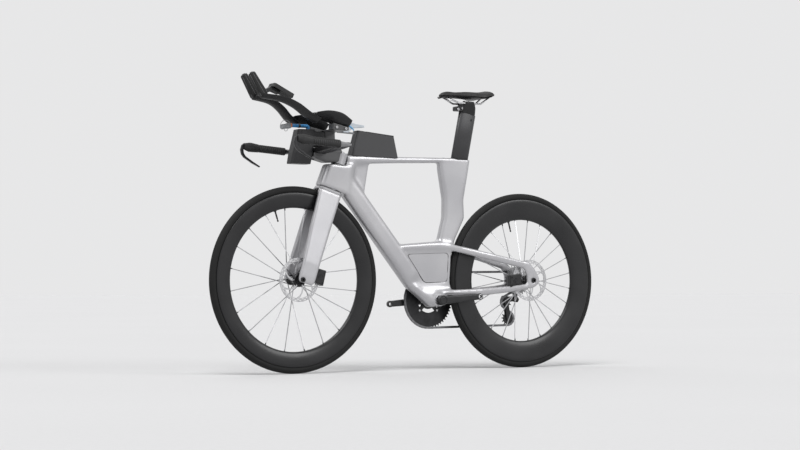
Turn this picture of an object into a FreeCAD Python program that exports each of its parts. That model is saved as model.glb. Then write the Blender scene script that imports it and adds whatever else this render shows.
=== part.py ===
import FreeCAD
import Part
import math
import os
from FreeCAD import Vector

os.makedirs("parts", exist_ok=True)

# Time trial bike, millimetres. X points forward, Y to the rider's left, Z up; the tyres stand on Z = 0
# and the origin lies midway between the two axles.

# Main geometry
wheelbase = 1000.0
tyre_radius = 339.0
head_angle = 72.5
fork_offset = 43.0
bottom_bracket_drop = 76.0
bottom_bracket_setback = 400.0
seat_angle = 78.4
running_gap = 0.05
clear_gap = 0.4

# Wheels
bead_radius = 314.0
tyre_half = 14.0
front_rim_depth = 54.0
rear_rim_depth = 78.0
rim_half = 14.2
front_spoke_count = 20
rear_spoke_count = 24
spoke_width = 3.2
spoke_thickness = 1.2
axle_radius = 6.0
axle_bore = 4.0
front_hub_half = 50.0
rear_hub_half = 71.0
rotor_radius = 80.0
rotor_band = 14.0
rotor_thickness = 1.8
rotor_inset = 15.5

# Frame
head_low = 358.6
head_high = 455.0
head_rise = 3.0
head_half = 29.0
steerer_radius = 14.3
headset_radius = 25.0
headset_height = 8.0
crown_swing = 46.0
down_tube_half_depth = 38.5
down_tube_half = 27.0
top_tube_half = 22.0
seat_tube_half = 17.5
seat_tube_height = 541.0
housing_half = 21.0
cover_thickness = 2.5
shell_radius = 25.0
shell_half = 43.0
dropout_thickness = 12.0

# Seatpost and saddle
post_half_chord = 37.0
post_half = 12.0
post_insert = 120.0
post_travel = 40.0
post_height = 190.0
saddle_length = 240.0
saddle_half = 66.0
rail_radius = 3.5
rail_spread = 22.0

# Drive
chain_pitch = 12.7
roller_radius = 3.85
plate_height = 8.4
chain_inner_width = 2.2
inner_plate = 0.9
outer_plate = 0.8
chainring_teeth = 52
sprocket_teeth = (11, 12, 13, 14, 15, 17, 19, 21, 23, 25, 28)
drive_sprocket = 5
sprocket_step = 3.74
sprocket_thickness = 1.6
sprocket_start = -66.0
guide_teeth = 11
tension_teeth = 13
cage_length = 64.0
cage_lean = -10.0
crank_length = 160.0
crank_lean = -5.0
pedal_radius = 6.35
pedal_face = 73.0
arm_thickness = 13.0
spindle_radius = 14.5
link_length = 45.0
link_slant = 42.0

# Cockpit
cover_radius = 26.0
bar_half_width = 210.0
bar_chord = 56.0
grip_radius = 14.0
horn_radius = 10.0
hood_start = 221.0
hood_end = 281.0
lever_width = 10.0
lever_pin_radius = 2.5
bolt_radius = 2.5
button_radius = 6.0
computer_length = 88.0
cup_spread = 88.0
cup_length = 146.0
cup_half = 44.0
cup_wall = 4.0
pad_thickness = 12.0
extension_wall = 4.0
hand_spread = 35.0
straw_radius = 6.5
valve_radius = 10.5

# Top tube box
box_length = 200.0
box_half = 23.0
box_wall = 2.5
cap_length = 33.0
lid_thickness = 3.5
lid_pin_radius = 1.5

axle_height = tyre_radius
rear_axle = Vector(-wheelbase / 2, 0, axle_height)
front_axle = Vector(wheelbase / 2, 0, axle_height)
bracket = rear_axle + Vector(bottom_bracket_setback, 0, -bottom_bracket_drop)
left = Vector(0, 1, 0)
forward = Vector(1, 0, 0)
upward = Vector(0, 0, 1)
tilt = math.radians(head_angle)
axis_up = Vector(-math.cos(tilt), 0, math.sin(tilt))
axis_forward = Vector(math.sin(tilt), 0, math.cos(tilt))
axis_foot = front_axle - axis_forward * fork_offset
lean = math.radians(seat_angle)
seat_up = Vector(-math.cos(lean), 0, math.sin(lean))
seat_forward = Vector(math.sin(lean), 0, math.cos(lean))


def steer(up, ahead, y=0.0):
    """Point measured along and ahead of the steering axis, from the front axle's level."""
    return axis_foot + axis_up * up + axis_forward * ahead + left * y


def seat(up, ahead, y=0.0):
    """Point measured along and ahead of the seat tube's axis, from the bottom bracket."""
    return bracket + seat_up * up + seat_forward * ahead + left * y


def polygon(points):
    return Part.Face(Part.makePolygon(points + points[:1]))


def prism(outline, y_low, y_high):
    """Side outline of (x, z) pairs given width across the bike."""
    face = polygon([Vector(x, y_low, z) for x, z in outline])
    return face.extrude(left * (y_high - y_low))


def side_plate(points, y_low, y_high):
    """Side outline of points given width across the bike."""
    return prism([(p.x, p.z) for p in points], y_low, y_high)


def oblong(center, long_way, thick_way, half_long, half_thick, corner):
    """Closed wire: a rectangle with four rounded corners."""
    a = half_long - corner
    b = half_thick - corner
    k = corner * math.sqrt(0.5)
    corners = (
        ((half_long, b), (a + k, b + k), (a, half_thick)),
        ((-a, half_thick), (-a - k, b + k), (-half_long, b)),
        ((-half_long, -b), (-a - k, -b - k), (-a, -half_thick)),
        ((a, -half_thick), (a + k, -b - k), (half_long, -b)),
    )
    edges = []
    for i, corner_points in enumerate(corners):
        start, middle, end = [center + long_way * p + thick_way * q for p, q in corner_points]
        edges.append(Part.Arc(start, middle, end).toShape())
        p, q = corners[(i + 1) % 4][0]
        edges.append(Part.makeLine(end, center + long_way * p + thick_way * q))
    return Part.Wire(edges)


def crescent(center, across, up, half_width, depth, wall):
    """Closed wire of a scooped section: a shallow bowl of constant wall."""
    outer = [center - across * half_width + up * depth, center, center + across * half_width + up * depth]
    rim = half_width - wall
    inner = [center + across * rim + up * depth, center + up * wall, center - across * rim + up * depth]
    return Part.Wire([
        Part.Arc(*outer).toShape(),
        Part.makeLine(outer[2], inner[0]),
        Part.Arc(*inner).toShape(),
        Part.makeLine(inner[2], outer[0]),
    ])


def lens(center, across, up, half_width, belly, crown):
    """Closed wire of a padded section: a curved base under a crowned top."""
    ends = (center - across * half_width, center + across * half_width)
    return Part.Wire([
        Part.Arc(ends[0], center - up * belly, ends[1]).toShape(),
        Part.Arc(ends[1], center + up * crown, ends[0]).toShape(),
    ])


def loft(wires, ruled=True):
    return Part.makeLoft(wires, True, ruled)


def rod(start, end, radius):
    way = end - start
    return Part.makeCylinder(radius, way.Length, start, way)


def collar(start, end, outer, inner):
    return rod(start, end, outer).cut(rod(start, end, inner))


def turned(profile, center):
    """Solid of revolution about a crosswise axis, from (radius, y) pairs."""
    face = polygon([Vector(center.x + r, y, center.z) for r, y in profile])
    return face.revolve(center, left, 360)


def mirrored(shape):
    return shape.mirror(Vector(0, 0, 0), left)


def joined(first, *others):
    return first.fuse(list(others)).removeSplitter()


def largest(shape):
    """Main solid of a cut piece, without the offcuts."""
    return max(shape.Solids, key=lambda solid: solid.Volume)


def save(name, *solids):
    shape = solids[0] if len(solids) == 1 else Part.makeCompound(list(solids))
    shape.exportStep("parts/" + name + ".step")


# Wheels: tyre, deep rim, bladed spokes, hub shell and brake rotor
def make_tyre(center):
    shoulder = tyre_half * 0.75
    side = tyre_radius - tyre_half
    low = [(bead_radius, -tyre_half * 0.7), (side - 6, -tyre_half * 0.97), (side + 3, -tyre_half)]
    low.append((tyre_radius - 5, -shoulder))
    points = [Vector(center.x + r, y, center.z) for r, y in low]
    points += [Vector(center.x + r, -y, center.z) for r, y in reversed(low)]
    crown = Part.Arc(points[3], Vector(center.x + tyre_radius, 0, center.z), points[4]).toShape()
    edges = [Part.makeLine(points[i], points[i + 1]) for i in (0, 1, 2)]
    edges.append(crown)
    edges += [Part.makeLine(points[i], points[(i + 1) % 8]) for i in (4, 5, 6, 7)]
    return Part.Face(Part.Wire(edges)).revolve(center, left, 360)


def make_rim(center, depth):
    nose = bead_radius - depth
    half = [(bead_radius, rim_half - 3), (bead_radius - 9, rim_half), (bead_radius - 30, rim_half - 0.6)]
    half.append((nose, 4))
    return turned(half + [(r, -y) for r, y in reversed(half)], center)


def make_spokes(center, count, nose, flange, left_flange, right_flange):
    """Bladed spokes laced from both flanges, each leaving its flange at a tangent."""
    spokes = []
    for i in range(count):
        rim_turn = 2 * math.pi * (i + 0.5) / count
        side = left_flange if i % 2 else right_flange
        sweep = math.radians(70) if (i // 2) % 2 else -math.radians(70)
        rim_way = Vector(math.cos(rim_turn), 0, math.sin(rim_turn))
        hub_way = Vector(math.cos(rim_turn + sweep), 0, math.sin(rim_turn + sweep))
        outer = center + rim_way * (nose + 1.5) + left * (math.copysign(1.2, side))
        inner = center + hub_way * flange + left * side
        along = (outer - inner).normalize()
        wide = along.cross(left).normalize() * (spoke_width / 2)
        thin = wide.cross(along).normalize() * (spoke_thickness / 2)
        base = [inner + wide + thin, inner - wide + thin, inner - wide - thin, inner + wide - thin]
        spokes.append(polygon(base).extrude(outer - inner))
    return spokes


def make_rotor(center, y):
    """Brake rotor: braking band, six raked arms and a lock ring carrier."""
    low = y - rotor_thickness / 2
    high = y + rotor_thickness / 2
    inner = rotor_radius - rotor_band
    carrier = 24.0
    band = turned([(inner, low), (rotor_radius, low), (rotor_radius, high), (inner, high)], center)
    arms = []
    for i in range(6):
        outline = []
        for radius, turn in ((carrier - 3, -6), (inner + 2, 18), (inner + 2, 30), (carrier - 3, 14)):
            angle = math.radians(60 * i + turn)
            outline.append((center.x + radius * math.cos(angle), center.z + radius * math.sin(angle)))
        arms.append(prism(outline, low, high))
    ring = turned([(17, low), (carrier, low), (carrier, high), (17, high)], center)
    return joined(band, ring, *arms)


bore = axle_radius + running_gap
front_rotor_y = front_hub_half - rotor_inset
rear_rotor_y = rear_hub_half - rotor_inset
front_end = front_hub_half - clear_gap
rear_end = rear_hub_half - clear_gap
freehub_face = -22.0
front_hub = turned([
    (bore, -front_end), (9.5, -front_end), (9.5, -36), (19, -32), (19, -27), (12, -20), (12, 20), (19, 26),
    (19, 30), (17, front_rotor_y - 3), (17, front_rotor_y + 3), (10, front_rotor_y + 4), (9.5, front_end),
    (bore, front_end),
], front_axle)
rear_hub = turned([
    (bore, freehub_face), (20, freehub_face), (24, freehub_face + 2), (24, freehub_face + 7),
    (14, freehub_face + 14), (13, 26), (21, 34), (21, 39), (17, 44),
    (17, rear_rotor_y + 3), (10, rear_rotor_y + 4), (9.5, rear_end),
    (bore, rear_end),
], rear_axle)
save("front_tyre", make_tyre(front_axle))
save("front_rim", make_rim(front_axle, front_rim_depth))
front_nose = bead_radius - front_rim_depth
save("front_spokes", *make_spokes(front_axle, front_spoke_count, front_nose, 16.5, 28, -29.5))
save("front_hub", front_hub)
save("front_rotor", make_rotor(front_axle, front_rotor_y))
save("rear_tyre", make_tyre(rear_axle))
save("rear_rim", make_rim(rear_axle, rear_rim_depth))
rear_nose = bead_radius - rear_rim_depth
save("rear_spokes", *make_spokes(rear_axle, rear_spoke_count, rear_nose, 18.5, 36.5, -17.5))
save("rear_hub", rear_hub)
save("rear_rotor", make_rotor(rear_axle, rear_rotor_y))

# Frame: one carbon moulding, drawn tube by tube and joined
head_tube = loft([
    oblong(steer(head_low, -8), axis_forward, left, 69, head_half, 20),
    oblong(steer(head_high + 40, -3), axis_forward, left, 53, head_half, 20),
])
head_lid = Part.makeBox(400, 200, 200, steer(head_high, 0) + Vector(-80, -100, head_rise))
head_tube = head_tube.cut(head_lid)
strut = side_plate([
    steer(372, -80), steer(384, -133), steer(506, -117), steer(492, -20), steer(440, -20),
], -15, 15)
neck = side_plate([steer(430, -66), steer(494, -58), steer(494, -20), steer(430, -20)], -23, 23)
down_top = steer(387, -69)
down_low = bracket + Vector(106, 0, 82)
down_way = (down_top - down_low).normalize()
down_across = left.cross(down_way)
down_tube = loft([
    oblong(down_top + down_way * 45, down_across, left, down_tube_half_depth, down_tube_half, 20),
    oblong(down_low, down_across, left, down_tube_half_depth, down_tube_half, 20),
])
top_front = steer(484, -20)
top_rear = seat(seat_tube_height, 20)
top_way = top_rear - top_front
top_tube = loft([
    oblong(top_front, upward, left, 17, top_tube_half + 2, 8),
    oblong(top_front + top_way * 0.45, upward, left, 12, top_tube_half - 2, 8),
    oblong(top_rear, upward, left, 9.5, seat_tube_half, 7),
])
seat_sections = (
    (seat_tube_height, 27, 71), (seat_tube_height - 39, 23, 68), (383, 0, 47), (314, -15, 49), (232, 0, 39),
    (187, 2, 34),
)
seat_tube = loft([
    oblong(bracket + Vector(ahead - rise / math.tan(lean), 0, rise), forward, left, half, seat_tube_half, 15)
    for rise, ahead, half in seat_sections
])
middle_strut = loft([
    oblong(bracket + Vector(178, 0, 197), upward, left, 12, 25, 10),
    oblong(bracket + Vector(-5, 0, 207), upward, left, 17, 25, 10),
    oblong(bracket + Vector(-62, 0, 204), upward, left, 15, 24, 10),
])
housing_outline = (
    (150, 190), (-63, 195), (-55, 67), (-66, 40), (-40, 17), (11, -26), (30, -27), (135, 59), (192, 137),
)
housing = prism([(bracket.x + x, bracket.z + z) for x, z in housing_outline], -housing_half, housing_half)
shell = rod(bracket - left * shell_half, bracket + left * shell_half, shell_radius)
under = loft([
    oblong(bracket + Vector(118, 0, 62), down_across, left, 17, down_tube_half, 14),
    oblong(bracket + Vector(20, 0, -8), down_across, left, 19, down_tube_half + 3, 14),
    oblong(bracket + Vector(-30, 0, 8), down_across, left, 16, down_tube_half + 3, 14),
])
shelf = loft([
    oblong(bracket + Vector(62, 0, 26), upward, left, 14, down_tube_half, 9),
    oblong(bracket + Vector(-45, 0, 29), upward, left, 11, down_tube_half + 5, 9),
])


def make_stay(stations):
    """Left stay through (ahead, above, y, half height, half thickness) from the rear axle."""
    wires = []
    for ahead, above, y, tall, thick in stations:
        wires.append(oblong(rear_axle + Vector(ahead, y, above), upward, left, tall, thick, thick * 0.8))
    return loft(wires)


stay_y = rear_hub_half + dropout_thickness / 2
seat_stay = make_stay((
    (bottom_bracket_setback - 45, 128, 15, 15, 8), (300, 116, 32, 14, 8), (170, 89, 48, 14.5, 7.5),
    (45, 60, stay_y, 15, 6),
))
chain_stay = make_stay((
    (bottom_bracket_setback - 45, -47, 25, 11, 8), (300, -47, 31, 13, 7), (216, -45, 40, 15, 7),
    (100, -34, 61, 13, 7), (30, -24, stay_y, 11, 6),
))
dropout_outline = (
    (50, 76), (20, 72), (-8, 44), (-30, 8), (-26, -14), (-6, -28), (35, -35), (50, -28), (28, -10), (30, 20),
    (44, 46),
)
dropout_points = [(rear_axle.x + x, rear_axle.z + z) for x, z in dropout_outline]
dropout = prism(dropout_points, rear_hub_half, rear_hub_half + dropout_thickness)
left_rear = [seat_stay, chain_stay, dropout]
right_rear = [mirrored(piece) for piece in left_rear]
frame = joined(
    head_tube, strut, neck, down_tube, top_tube, seat_tube, middle_strut, housing, shell, under, shelf,
    *left_rear, *right_rear,
)
head_bores = [
    rod(steer(head_low - 60, 0), steer(head_high + 90, 0), steerer_radius + 3),
    rod(steer(head_low - 120, 0), steer(head_low, 0), crown_swing),
    rod(steer(head_low, 0), steer(head_low + headset_height, 0), headset_radius),
    rod(steer(head_high - headset_height, 0), steer(head_high, 0), headset_radius),
    rod(steer(head_high, 0), steer(head_high + 90, 0), cover_radius + 1.5),
]
post_base = seat_tube_height - post_insert
post_long = post_half_chord + clear_gap
post_cavity = loft([
    oblong(seat(post_base - post_travel - 2, 0), seat_forward, left, post_long, post_half + clear_gap, 11),
    oblong(seat(seat_tube_height + 60, 0), seat_forward, left, post_long, post_half + clear_gap, 11),
])
cover_points = [bracket + Vector(x, 0, z) for x, z in ((137, 172), (-47, 179), (-41, 70), (60, 66))]
storage_cover = side_plate(cover_points, housing_half - cover_thickness, housing_half)
bearing_start = shell_half - 9
bearing_radius = shell_radius - 4
bracket_bores = [
    rod(bracket - left * 60, bracket + left * 60, spindle_radius + 2),
    rod(bracket - left * 60, bracket - left * bearing_start, bearing_radius),
    rod(bracket + left * bearing_start, bracket + left * 60, bearing_radius),
]
axle_hole = rod(rear_axle - left * 120, rear_axle + left * 120, axle_radius)
rear_room = rod(rear_axle - left * (tyre_half + 4), rear_axle + left * (tyre_half + 4), tyre_radius + 4.5)
frame = frame.cut(head_bores + [post_cavity, storage_cover, axle_hole, rear_room] + bracket_bores)
seat_bolt_spot = seat(seat_tube_height - 24.5, 66)
seat_bolt = joined(
    rod(seat_bolt_spot, seat_bolt_spot + upward * 24, 3),
    rod(seat_bolt_spot + upward * 14, seat_bolt_spot + upward * 24, 5),
)
frame = frame.cut(seat_bolt)
save("frame", frame)
save("storage_cover", storage_cover)

# Bearings: cartridge rings at both ends of the head tube and of the bottom bracket shell
steerer_fit = steerer_radius + running_gap
spindle_fit = spindle_radius + running_gap
bearings = [
    collar(steer(head_low, 0), steer(head_low + headset_height, 0), headset_radius, steerer_fit),
    collar(steer(head_high - headset_height, 0), steer(head_high, 0), headset_radius, steerer_fit),
    collar(bracket + left * bearing_start, bracket + left * shell_half, bearing_radius, spindle_fit),
    collar(bracket - left * shell_half, bracket - left * bearing_start, bearing_radius, spindle_fit),
]
save("frame_bearings", *bearings)

# Rear thru-axle: hollow, with a flanged head
axle_end = rear_hub_half + dropout_thickness
rear_axle_rod = joined(
    rod(rear_axle - left * axle_end, rear_axle + left * (axle_end + 4), axle_radius),
    rod(rear_axle + left * axle_end, rear_axle + left * (axle_end + 4), axle_radius + 3),
).cut(rod(rear_axle - left * 120, rear_axle + left * 120, axle_bore))
save("rear_axle", rear_axle_rod)

# Fork: crown, two deep blades and the steerer, moulded as one
crown_top = head_low - 1.2
crown = loft([
    oblong(steer(crown_top, 10), axis_forward, left, 51, head_half, 22),
    oblong(steer(325, 14), axis_forward, left, 49, 38, 18),
])
blade_y = front_hub_half + 7
blade = loft([
    oblong(steer(up, ahead, y), axis_forward, left, half, thick, thick * 0.8)
    for up, ahead, half, y, thick in (
        (345, 16, 46, 30, 9), (200, 21, 41, 41, 9.5), (70, 24, 35, blade_y - 3, 8), (18, 25, 34, blade_y, 7),
        (0, 25, 33, blade_y, 7), (-9, 27, 25, blade_y, 7),
    )
])
room_half = left * (tyre_half + 5.5)
tyre_room = rod(front_axle - room_half, front_axle + room_half, tyre_radius + 6.5)
front_hole = rod(front_axle - left * 120, front_axle + left * 120, axle_radius)
fork = joined(crown, blade, mirrored(blade)).cut([tyre_room, front_hole])
fork = joined(fork, rod(steer(head_low - 12.6, 0), steer(head_high + 53, 0), steerer_radius))
save("fork", fork)
fork_end = front_hub_half + 14
front_axle_rod = joined(
    rod(front_axle - left * fork_end, front_axle + left * (fork_end + 4), axle_radius),
    rod(front_axle + left * fork_end, front_axle + left * (fork_end + 4), axle_radius + 3),
).cut(rod(front_axle - left * 120, front_axle + left * 120, axle_bore))
save("front_axle", front_axle_rod)


def make_caliper(outline, y, carrier, reach):
    """Brake caliper round the rotor at y: a slotted body bridged at its first edge, and two pads."""
    slot = rotor_thickness / 2 + 2.2
    a, b, c, d = outline
    open_side = [a * 0.8 + d * 0.2, b * 0.8 + c * 0.2, c * 1.2 - b * 0.2, d * 1.2 - a * 0.2]
    body = side_plate(outline, y - 8, y + reach).cut([side_plate(open_side, y - slot, y + slot), carrier])
    middle = (a + b + c + d) * 0.25
    inset = [middle + (p - middle) * 0.6 for p in outline]
    pads = [side_plate(inset, y - slot, y - slot + 1.6), side_plate(inset, y + slot - 1.6, y + slot)]
    return [body] + pads


front_outline = [steer(5, -48), steer(62, -44), steer(60, -4), steer(10, -8)]
save("front_caliper", *make_caliper(front_outline, front_rotor_y, fork, 20))
rear_outline = [rear_axle + Vector(x, 0, z) for x, z in ((100, -26), (100, 20), (52, 26), (46, -26))]
save("rear_caliper", *make_caliper(rear_outline, rear_rotor_y, frame, 15))

# Stem and its cover: the cover carries the frame's colour and turns in the recess of the head tube
stem_base = steer(head_high, 0)


def cockpit(ahead, above, y=0.0):
    """Point ahead of and above the top of the head tube, on the steering axis."""
    return stem_base + Vector(ahead, y, above)


stem_body = loft([
    oblong(cockpit(ahead, above), upward, left, tall, half, corner)
    for ahead, above, tall, half, corner in (
        (-6, 33, 24, 22, 8), (61, 34, 26, 26, 10), (98, 38, 20, 29, 10), (114, 34, 6, 29, 5),
    )
])
under_stem = side_plate([
    steer(head_high + up, ahead) for up, ahead in (
        (5, -60), (5, 20), (1.8, 26), (-1.5, 35), (-8.5, 53), (-12.5, 64), (-12.5, 140), (-90, 140),
        (-90, -60),
    )
], -60, 60)
behind_stem = side_plate([
    steer(head_high + up, ahead) for up, ahead in ((-20, -90), (90, -90), (90, 8), (-20, 8))
], -60, 60)
clamp_ring = rod(steer(head_high + 1, 0), steer(head_high + 41, 0), steerer_radius + 4.7)
bar_sections = ((0, 85, 50), (70, 85, 51), (150, 84, 55), (bar_half_width - 6, 86, 60))
bar_sides = [(-y, ahead, above) for y, ahead, above in reversed(bar_sections[1:])] + list(bar_sections)
wing = loft([
    oblong(cockpit(ahead, above, y), forward, upward, bar_chord / 2, 10 if abs(y) < 100 else 8, 7)
    for y, ahead, above in bar_sides
])
horn_y = bar_half_width + 2


def along_horn(stations, y):
    """Loft along a bar end through (ahead, above, half height, half width)."""
    return loft([
        oblong(cockpit(ahead, above, y), upward, left, tall, half, min(tall, half) * 0.9)
        for ahead, above, tall, half in stations
    ])


horn = along_horn(((64, 58, 3.5, 3.5), (112, 60, horn_radius, horn_radius), (243, 69, 9, 9)), horn_y)
base_bar = joined(wing, horn, mirrored(horn))
stem = joined(stem_body.cut([under_stem, behind_stem]), clamp_ring).cut([fork, base_bar])
save("stem", stem)
cover_top = Part.makeBox(200, 200, 100, cockpit(-100, 43, -100))
stem_cover = rod(steer(head_high + 1, 0), steer(head_high + 75, 0), cover_radius).cut([cover_top, stem, fork])
stem_cover = largest(stem_cover)
save("stem_cover", stem_cover)
save("base_bar", base_bar)
grip = along_horn(((112, 60, grip_radius, grip_radius), (hood_start, 67.5, grip_radius, grip_radius)), horn_y)
grip = grip.cut(base_bar)
save("bar_grips", grip, mirrored(grip))

# Brake levers: hood bodies with a slot and a pin, and the blades that swing in them
lever_pivot = cockpit(268, 76, horn_y)
hood = along_horn(((hood_start, 67.5, 15, 14), (258, 71, 18, 15), (hood_end, 74, 12, 12)), horn_y)
slot_half = lever_width / 2 + clear_gap
lever_slot = Part.makeBox(80, 2 * slot_half, 80, cockpit(253, 30, horn_y - slot_half))
pin_reach = left * 11.5
lever_pin = rod(lever_pivot - pin_reach, lever_pivot + pin_reach, lever_pin_radius)
hood = hood.cut([lever_slot, base_bar, lever_pin])
save("lever_bodies", hood, lever_pin, mirrored(hood), mirrored(lever_pin))
blade_outline = (
    (262, 82), (278, 86), (289, 78), (294, 60), (290, 43), (281, 32), (248, 12), (216, -3), (214, 1),
    (244, 18), (274, 37), (281, 48), (283, 60), (278, 71), (262, 70),
)
lever = side_plate([cockpit(*p) for p in blade_outline], horn_y - lever_width / 2, horn_y + lever_width / 2)
lever = lever.cut(rod(lever_pivot - left * 20, lever_pivot + left * 20, lever_pin_radius + running_gap))
save("brake_lever_left", lever)
save("brake_lever_right", mirrored(lever))

# Arm rests: riser on the stem, two scooped cups with pads, and the scooped extensions
cup_tilt = math.radians(12)
cup_way = Vector(math.cos(cup_tilt), 0, math.sin(cup_tilt))
cup_up = Vector(-math.sin(cup_tilt), 0, math.cos(cup_tilt))
cup_stations = ((0, 36, 26), (0.34, cup_half, 40), (0.7, cup_half, 36), (1, 36, 20))


def make_scoop(lift, inset, wall):
    """Scoop along the arm rest, raised by lift and narrowed by inset from the cup's outer face."""
    return loft([
        crescent(cockpit(13, 130, cup_spread) + cup_way * (s * cup_length) + cup_up * lift, left, cup_up,
                 half - inset, depth - lift, wall)
        for s, half, depth in cup_stations
    ])


cup = make_scoop(0, 0, cup_wall)
arm_pad = make_scoop(cup_wall, cup_wall, pad_thickness)
save("arm_cups", cup, mirrored(cup))
save("arm_pads", arm_pad, mirrored(arm_pad))
column = loft([
    oblong(cockpit(34, 56), forward, left, 21, 11, 8), oblong(cockpit(40, 122), forward, left, 24, 11, 8),
])
plate = Part.makeBox(65, 2 * cup_spread + 36, 4, cockpit(13, 120, -cup_spread - 18))
wedge = side_plate([cockpit(13, 124), cockpit(78, 124), cockpit(78, 146), cockpit(13, 132)], cup_spread - 18,
                   cup_spread + 18)
cockpit_bolts = []
for ahead, above in ((26, 126.5), (64, 130)):
    spot = cockpit(ahead, above, cup_spread + 18)
    bolt = joined(rod(spot, spot + left * 3.5, 4.5), rod(spot - left * 14, spot, bolt_radius))
    cockpit_bolts += [bolt, mirrored(bolt)]
riser = joined(column, plate, wedge, mirrored(wedge)).cut([stem, cup, mirrored(cup)] + cockpit_bolts)
riser = largest(riser)
save("riser", riser)
save("cockpit_bolts", *cockpit_bolts)
extension_stations = (
    (140, 141, 0.03, 31, 20, 30), (178, 163, 0.22, 31, 20, 36), (218, 195, 0.5, 29, 20, 33),
    (263, 216, 0.8, 26, 19, 16), (330, 226, 1, 22, 16, 3),
)
extension_wires = []
for ahead, above, share, half, depth, climb in extension_stations:
    y = cup_spread + (hand_spread - cup_spread) * share
    rise = Vector(-math.sin(math.radians(climb)), 0, math.cos(math.radians(climb)))
    extension_wires.append(crescent(cockpit(ahead, above, y), left, rise, half, depth, extension_wall))
extension = loft(extension_wires).cut([cup, arm_pad])
extension = largest(extension)
save("extensions", extension, mirrored(extension))

# Hand grips with a shift button in each top
hand_low = cockpit(316, 228, hand_spread)
hand_top = cockpit(370, 315, hand_spread - 4)
hand_way = (hand_top - hand_low).normalize()
hand_across = left.cross(hand_way).normalize()
hand_side = hand_way.cross(hand_across)
button_reach = 4.0
bore_end = hand_top - hand_way * (button_reach + 3)
button_bore = rod(bore_end, hand_top + hand_way * 9, button_radius + running_gap)
hand_grip = loft([
    oblong(hand_low, forward, left, 16, 12, 9),
    oblong(hand_low + hand_way * 30, hand_across, hand_side, 16, 13, 10),
    oblong(hand_top - hand_way * 25, hand_across, hand_side, 14, 12, 10),
    oblong(hand_top, hand_across, hand_side, 12, 10, 9),
]).cut([extension, button_bore])
hand_grip = largest(hand_grip)
save("hand_grips", hand_grip, mirrored(hand_grip))
button = rod(hand_top - hand_way * button_reach, hand_top + hand_way * 3, button_radius)
save("shift_button_left", button)
save("shift_button_right", mirrored(button))

# Bike computer on a bridge between the hand grips
screen_way = Vector(math.cos(math.radians(25.7)), 0, math.sin(math.radians(25.7)))
screen_up = Vector(-screen_way.z, 0, screen_way.x)
screen_base = oblong(cockpit(238, 254.7), screen_way, left, computer_length / 2, 27, 8)
computer = Part.Face(screen_base).extrude(screen_up * 14)
save("bike_computer", computer)
bridge = rod(cockpit(325, 243, 9 - hand_spread), cockpit(325, 243, hand_spread - 9), 5)
tongue = side_plate([
    cockpit(*p) for p in ((330, 248), (325, 238), (278, 258), (248, 248), (245, 261), (276, 276))
], -12, 12)
neighbours = [computer, hand_grip, mirrored(hand_grip), extension, mirrored(extension)]
computer_mount = joined(bridge, tongue).cut(neighbours)
computer_mount = largest(computer_mount)
save("computer_mount", computer_mount)

# Drink tank in front of the stem, with its filler behind, its straw and the bite valve
tank_front = loft([
    oblong(cockpit(163, -1), forward, left, 42, 24, 14),
    oblong(cockpit(154.5, 40), forward, left, 41.5, 29, 16),
    oblong(cockpit(138, 125), forward, left, 36, 30, 16),
])
tank_rear = loft([
    oblong(cockpit(103.5, 64), forward, left, 37.5, 26, 12),
    oblong(cockpit(103.5, 118.5), forward, left, 37.5, 30, 14),
])
tank = largest(joined(tank_front, tank_rear).cut([stem, base_bar]))
filler_tube = rod(cockpit(13, 121.5, 18), cockpit(-58, 119, 18), 3.5).cut(riser)
filler_shape = (
    (14, 127), (-12, 141), (-36, 160), (-60, 154), (-98, 150), (-98, 142), (-50, 138), (-30, 120), (-10, 120),
    (-6, 127),
)
filler = side_plate([cockpit(*p) for p in filler_shape], 10, 26).cut(filler_tube)
save("drink_tank", tank, largest(filler_tube), largest(filler))
straw_path = Part.Wire([
    Part.makeLine(cockpit(124, 125), cockpit(124, 130)),
    Part.Arc(cockpit(124, 130), cockpit(126.34, 135.66), cockpit(132, 138)).toShape(),
    Part.makeLine(cockpit(132, 138), cockpit(198, 138)),
])
straw_section = Part.Wire([Part.makeCircle(straw_radius, cockpit(124, 125), upward)])
straw = straw_path.makePipeShell([straw_section], True, False)
save("drink_straw", straw)
valve_way = Vector(38, 0, -8)
valve = Part.makeCone(valve_radius, valve_radius - 1.5, valve_way.Length, cockpit(198, 138), valve_way)
save("bite_valve", largest(valve.cut(straw)))

# Seatpost, saddle clamp, rails, shell and pad
seatpost_height = seat_tube_height + post_height
post_top = seat(seatpost_height, 0)


def saddle(ahead, above, y=0.0):
    """Point ahead of and above the middle of the seatpost's top."""
    return post_top + Vector(ahead, y, above)


seatpost = loft([
    oblong(seat(post_base, 0), seat_forward, left, post_half_chord, post_half, 11),
    oblong(post_top, seat_forward, left, post_half_chord, post_half, 11),
])
save("seatpost", seatpost)
stretch = saddle_length / 240.0
saddle_stations = (
    (-106, 0.79, 66, 10), (-90, 0.94, 65, 14), (-55, 1.0, 64, 17), (-10, 0.79, 64, 17), (35, 0.5, 65, 16),
    (80, 0.35, 65, 15), (118, 0.29, 64, 14), (130, 0.18, 62, 9),
)
pad_wires = []
shell_wires = []
for ahead, share, above, crown_height in saddle_stations:
    middle = saddle(ahead * stretch, above)
    pad_wires.append(lens(middle, left, upward, saddle_half * share, 3, crown_height))
    shell_wires.append(lens(middle, left, upward, saddle_half * share, 9, -3))
saddle_pad = loft(pad_wires)
saddle_shell = loft(shell_wires)
save("saddle_pad", saddle_pad)
save("saddle_shell", saddle_shell)
rail_points = [
    saddle(ahead * stretch, above, y) for ahead, above, y in (
        (-85, 61, 30), (-48, 38, rail_spread), (52, 38, rail_spread), (108, 60, 8),
    )
]
rail_pieces = [rod(rail_points[i], rail_points[i + 1], rail_radius) for i in range(3)]
rail_pieces += [Part.makeSphere(rail_radius, rail_points[i]) for i in (1, 2)]
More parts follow.
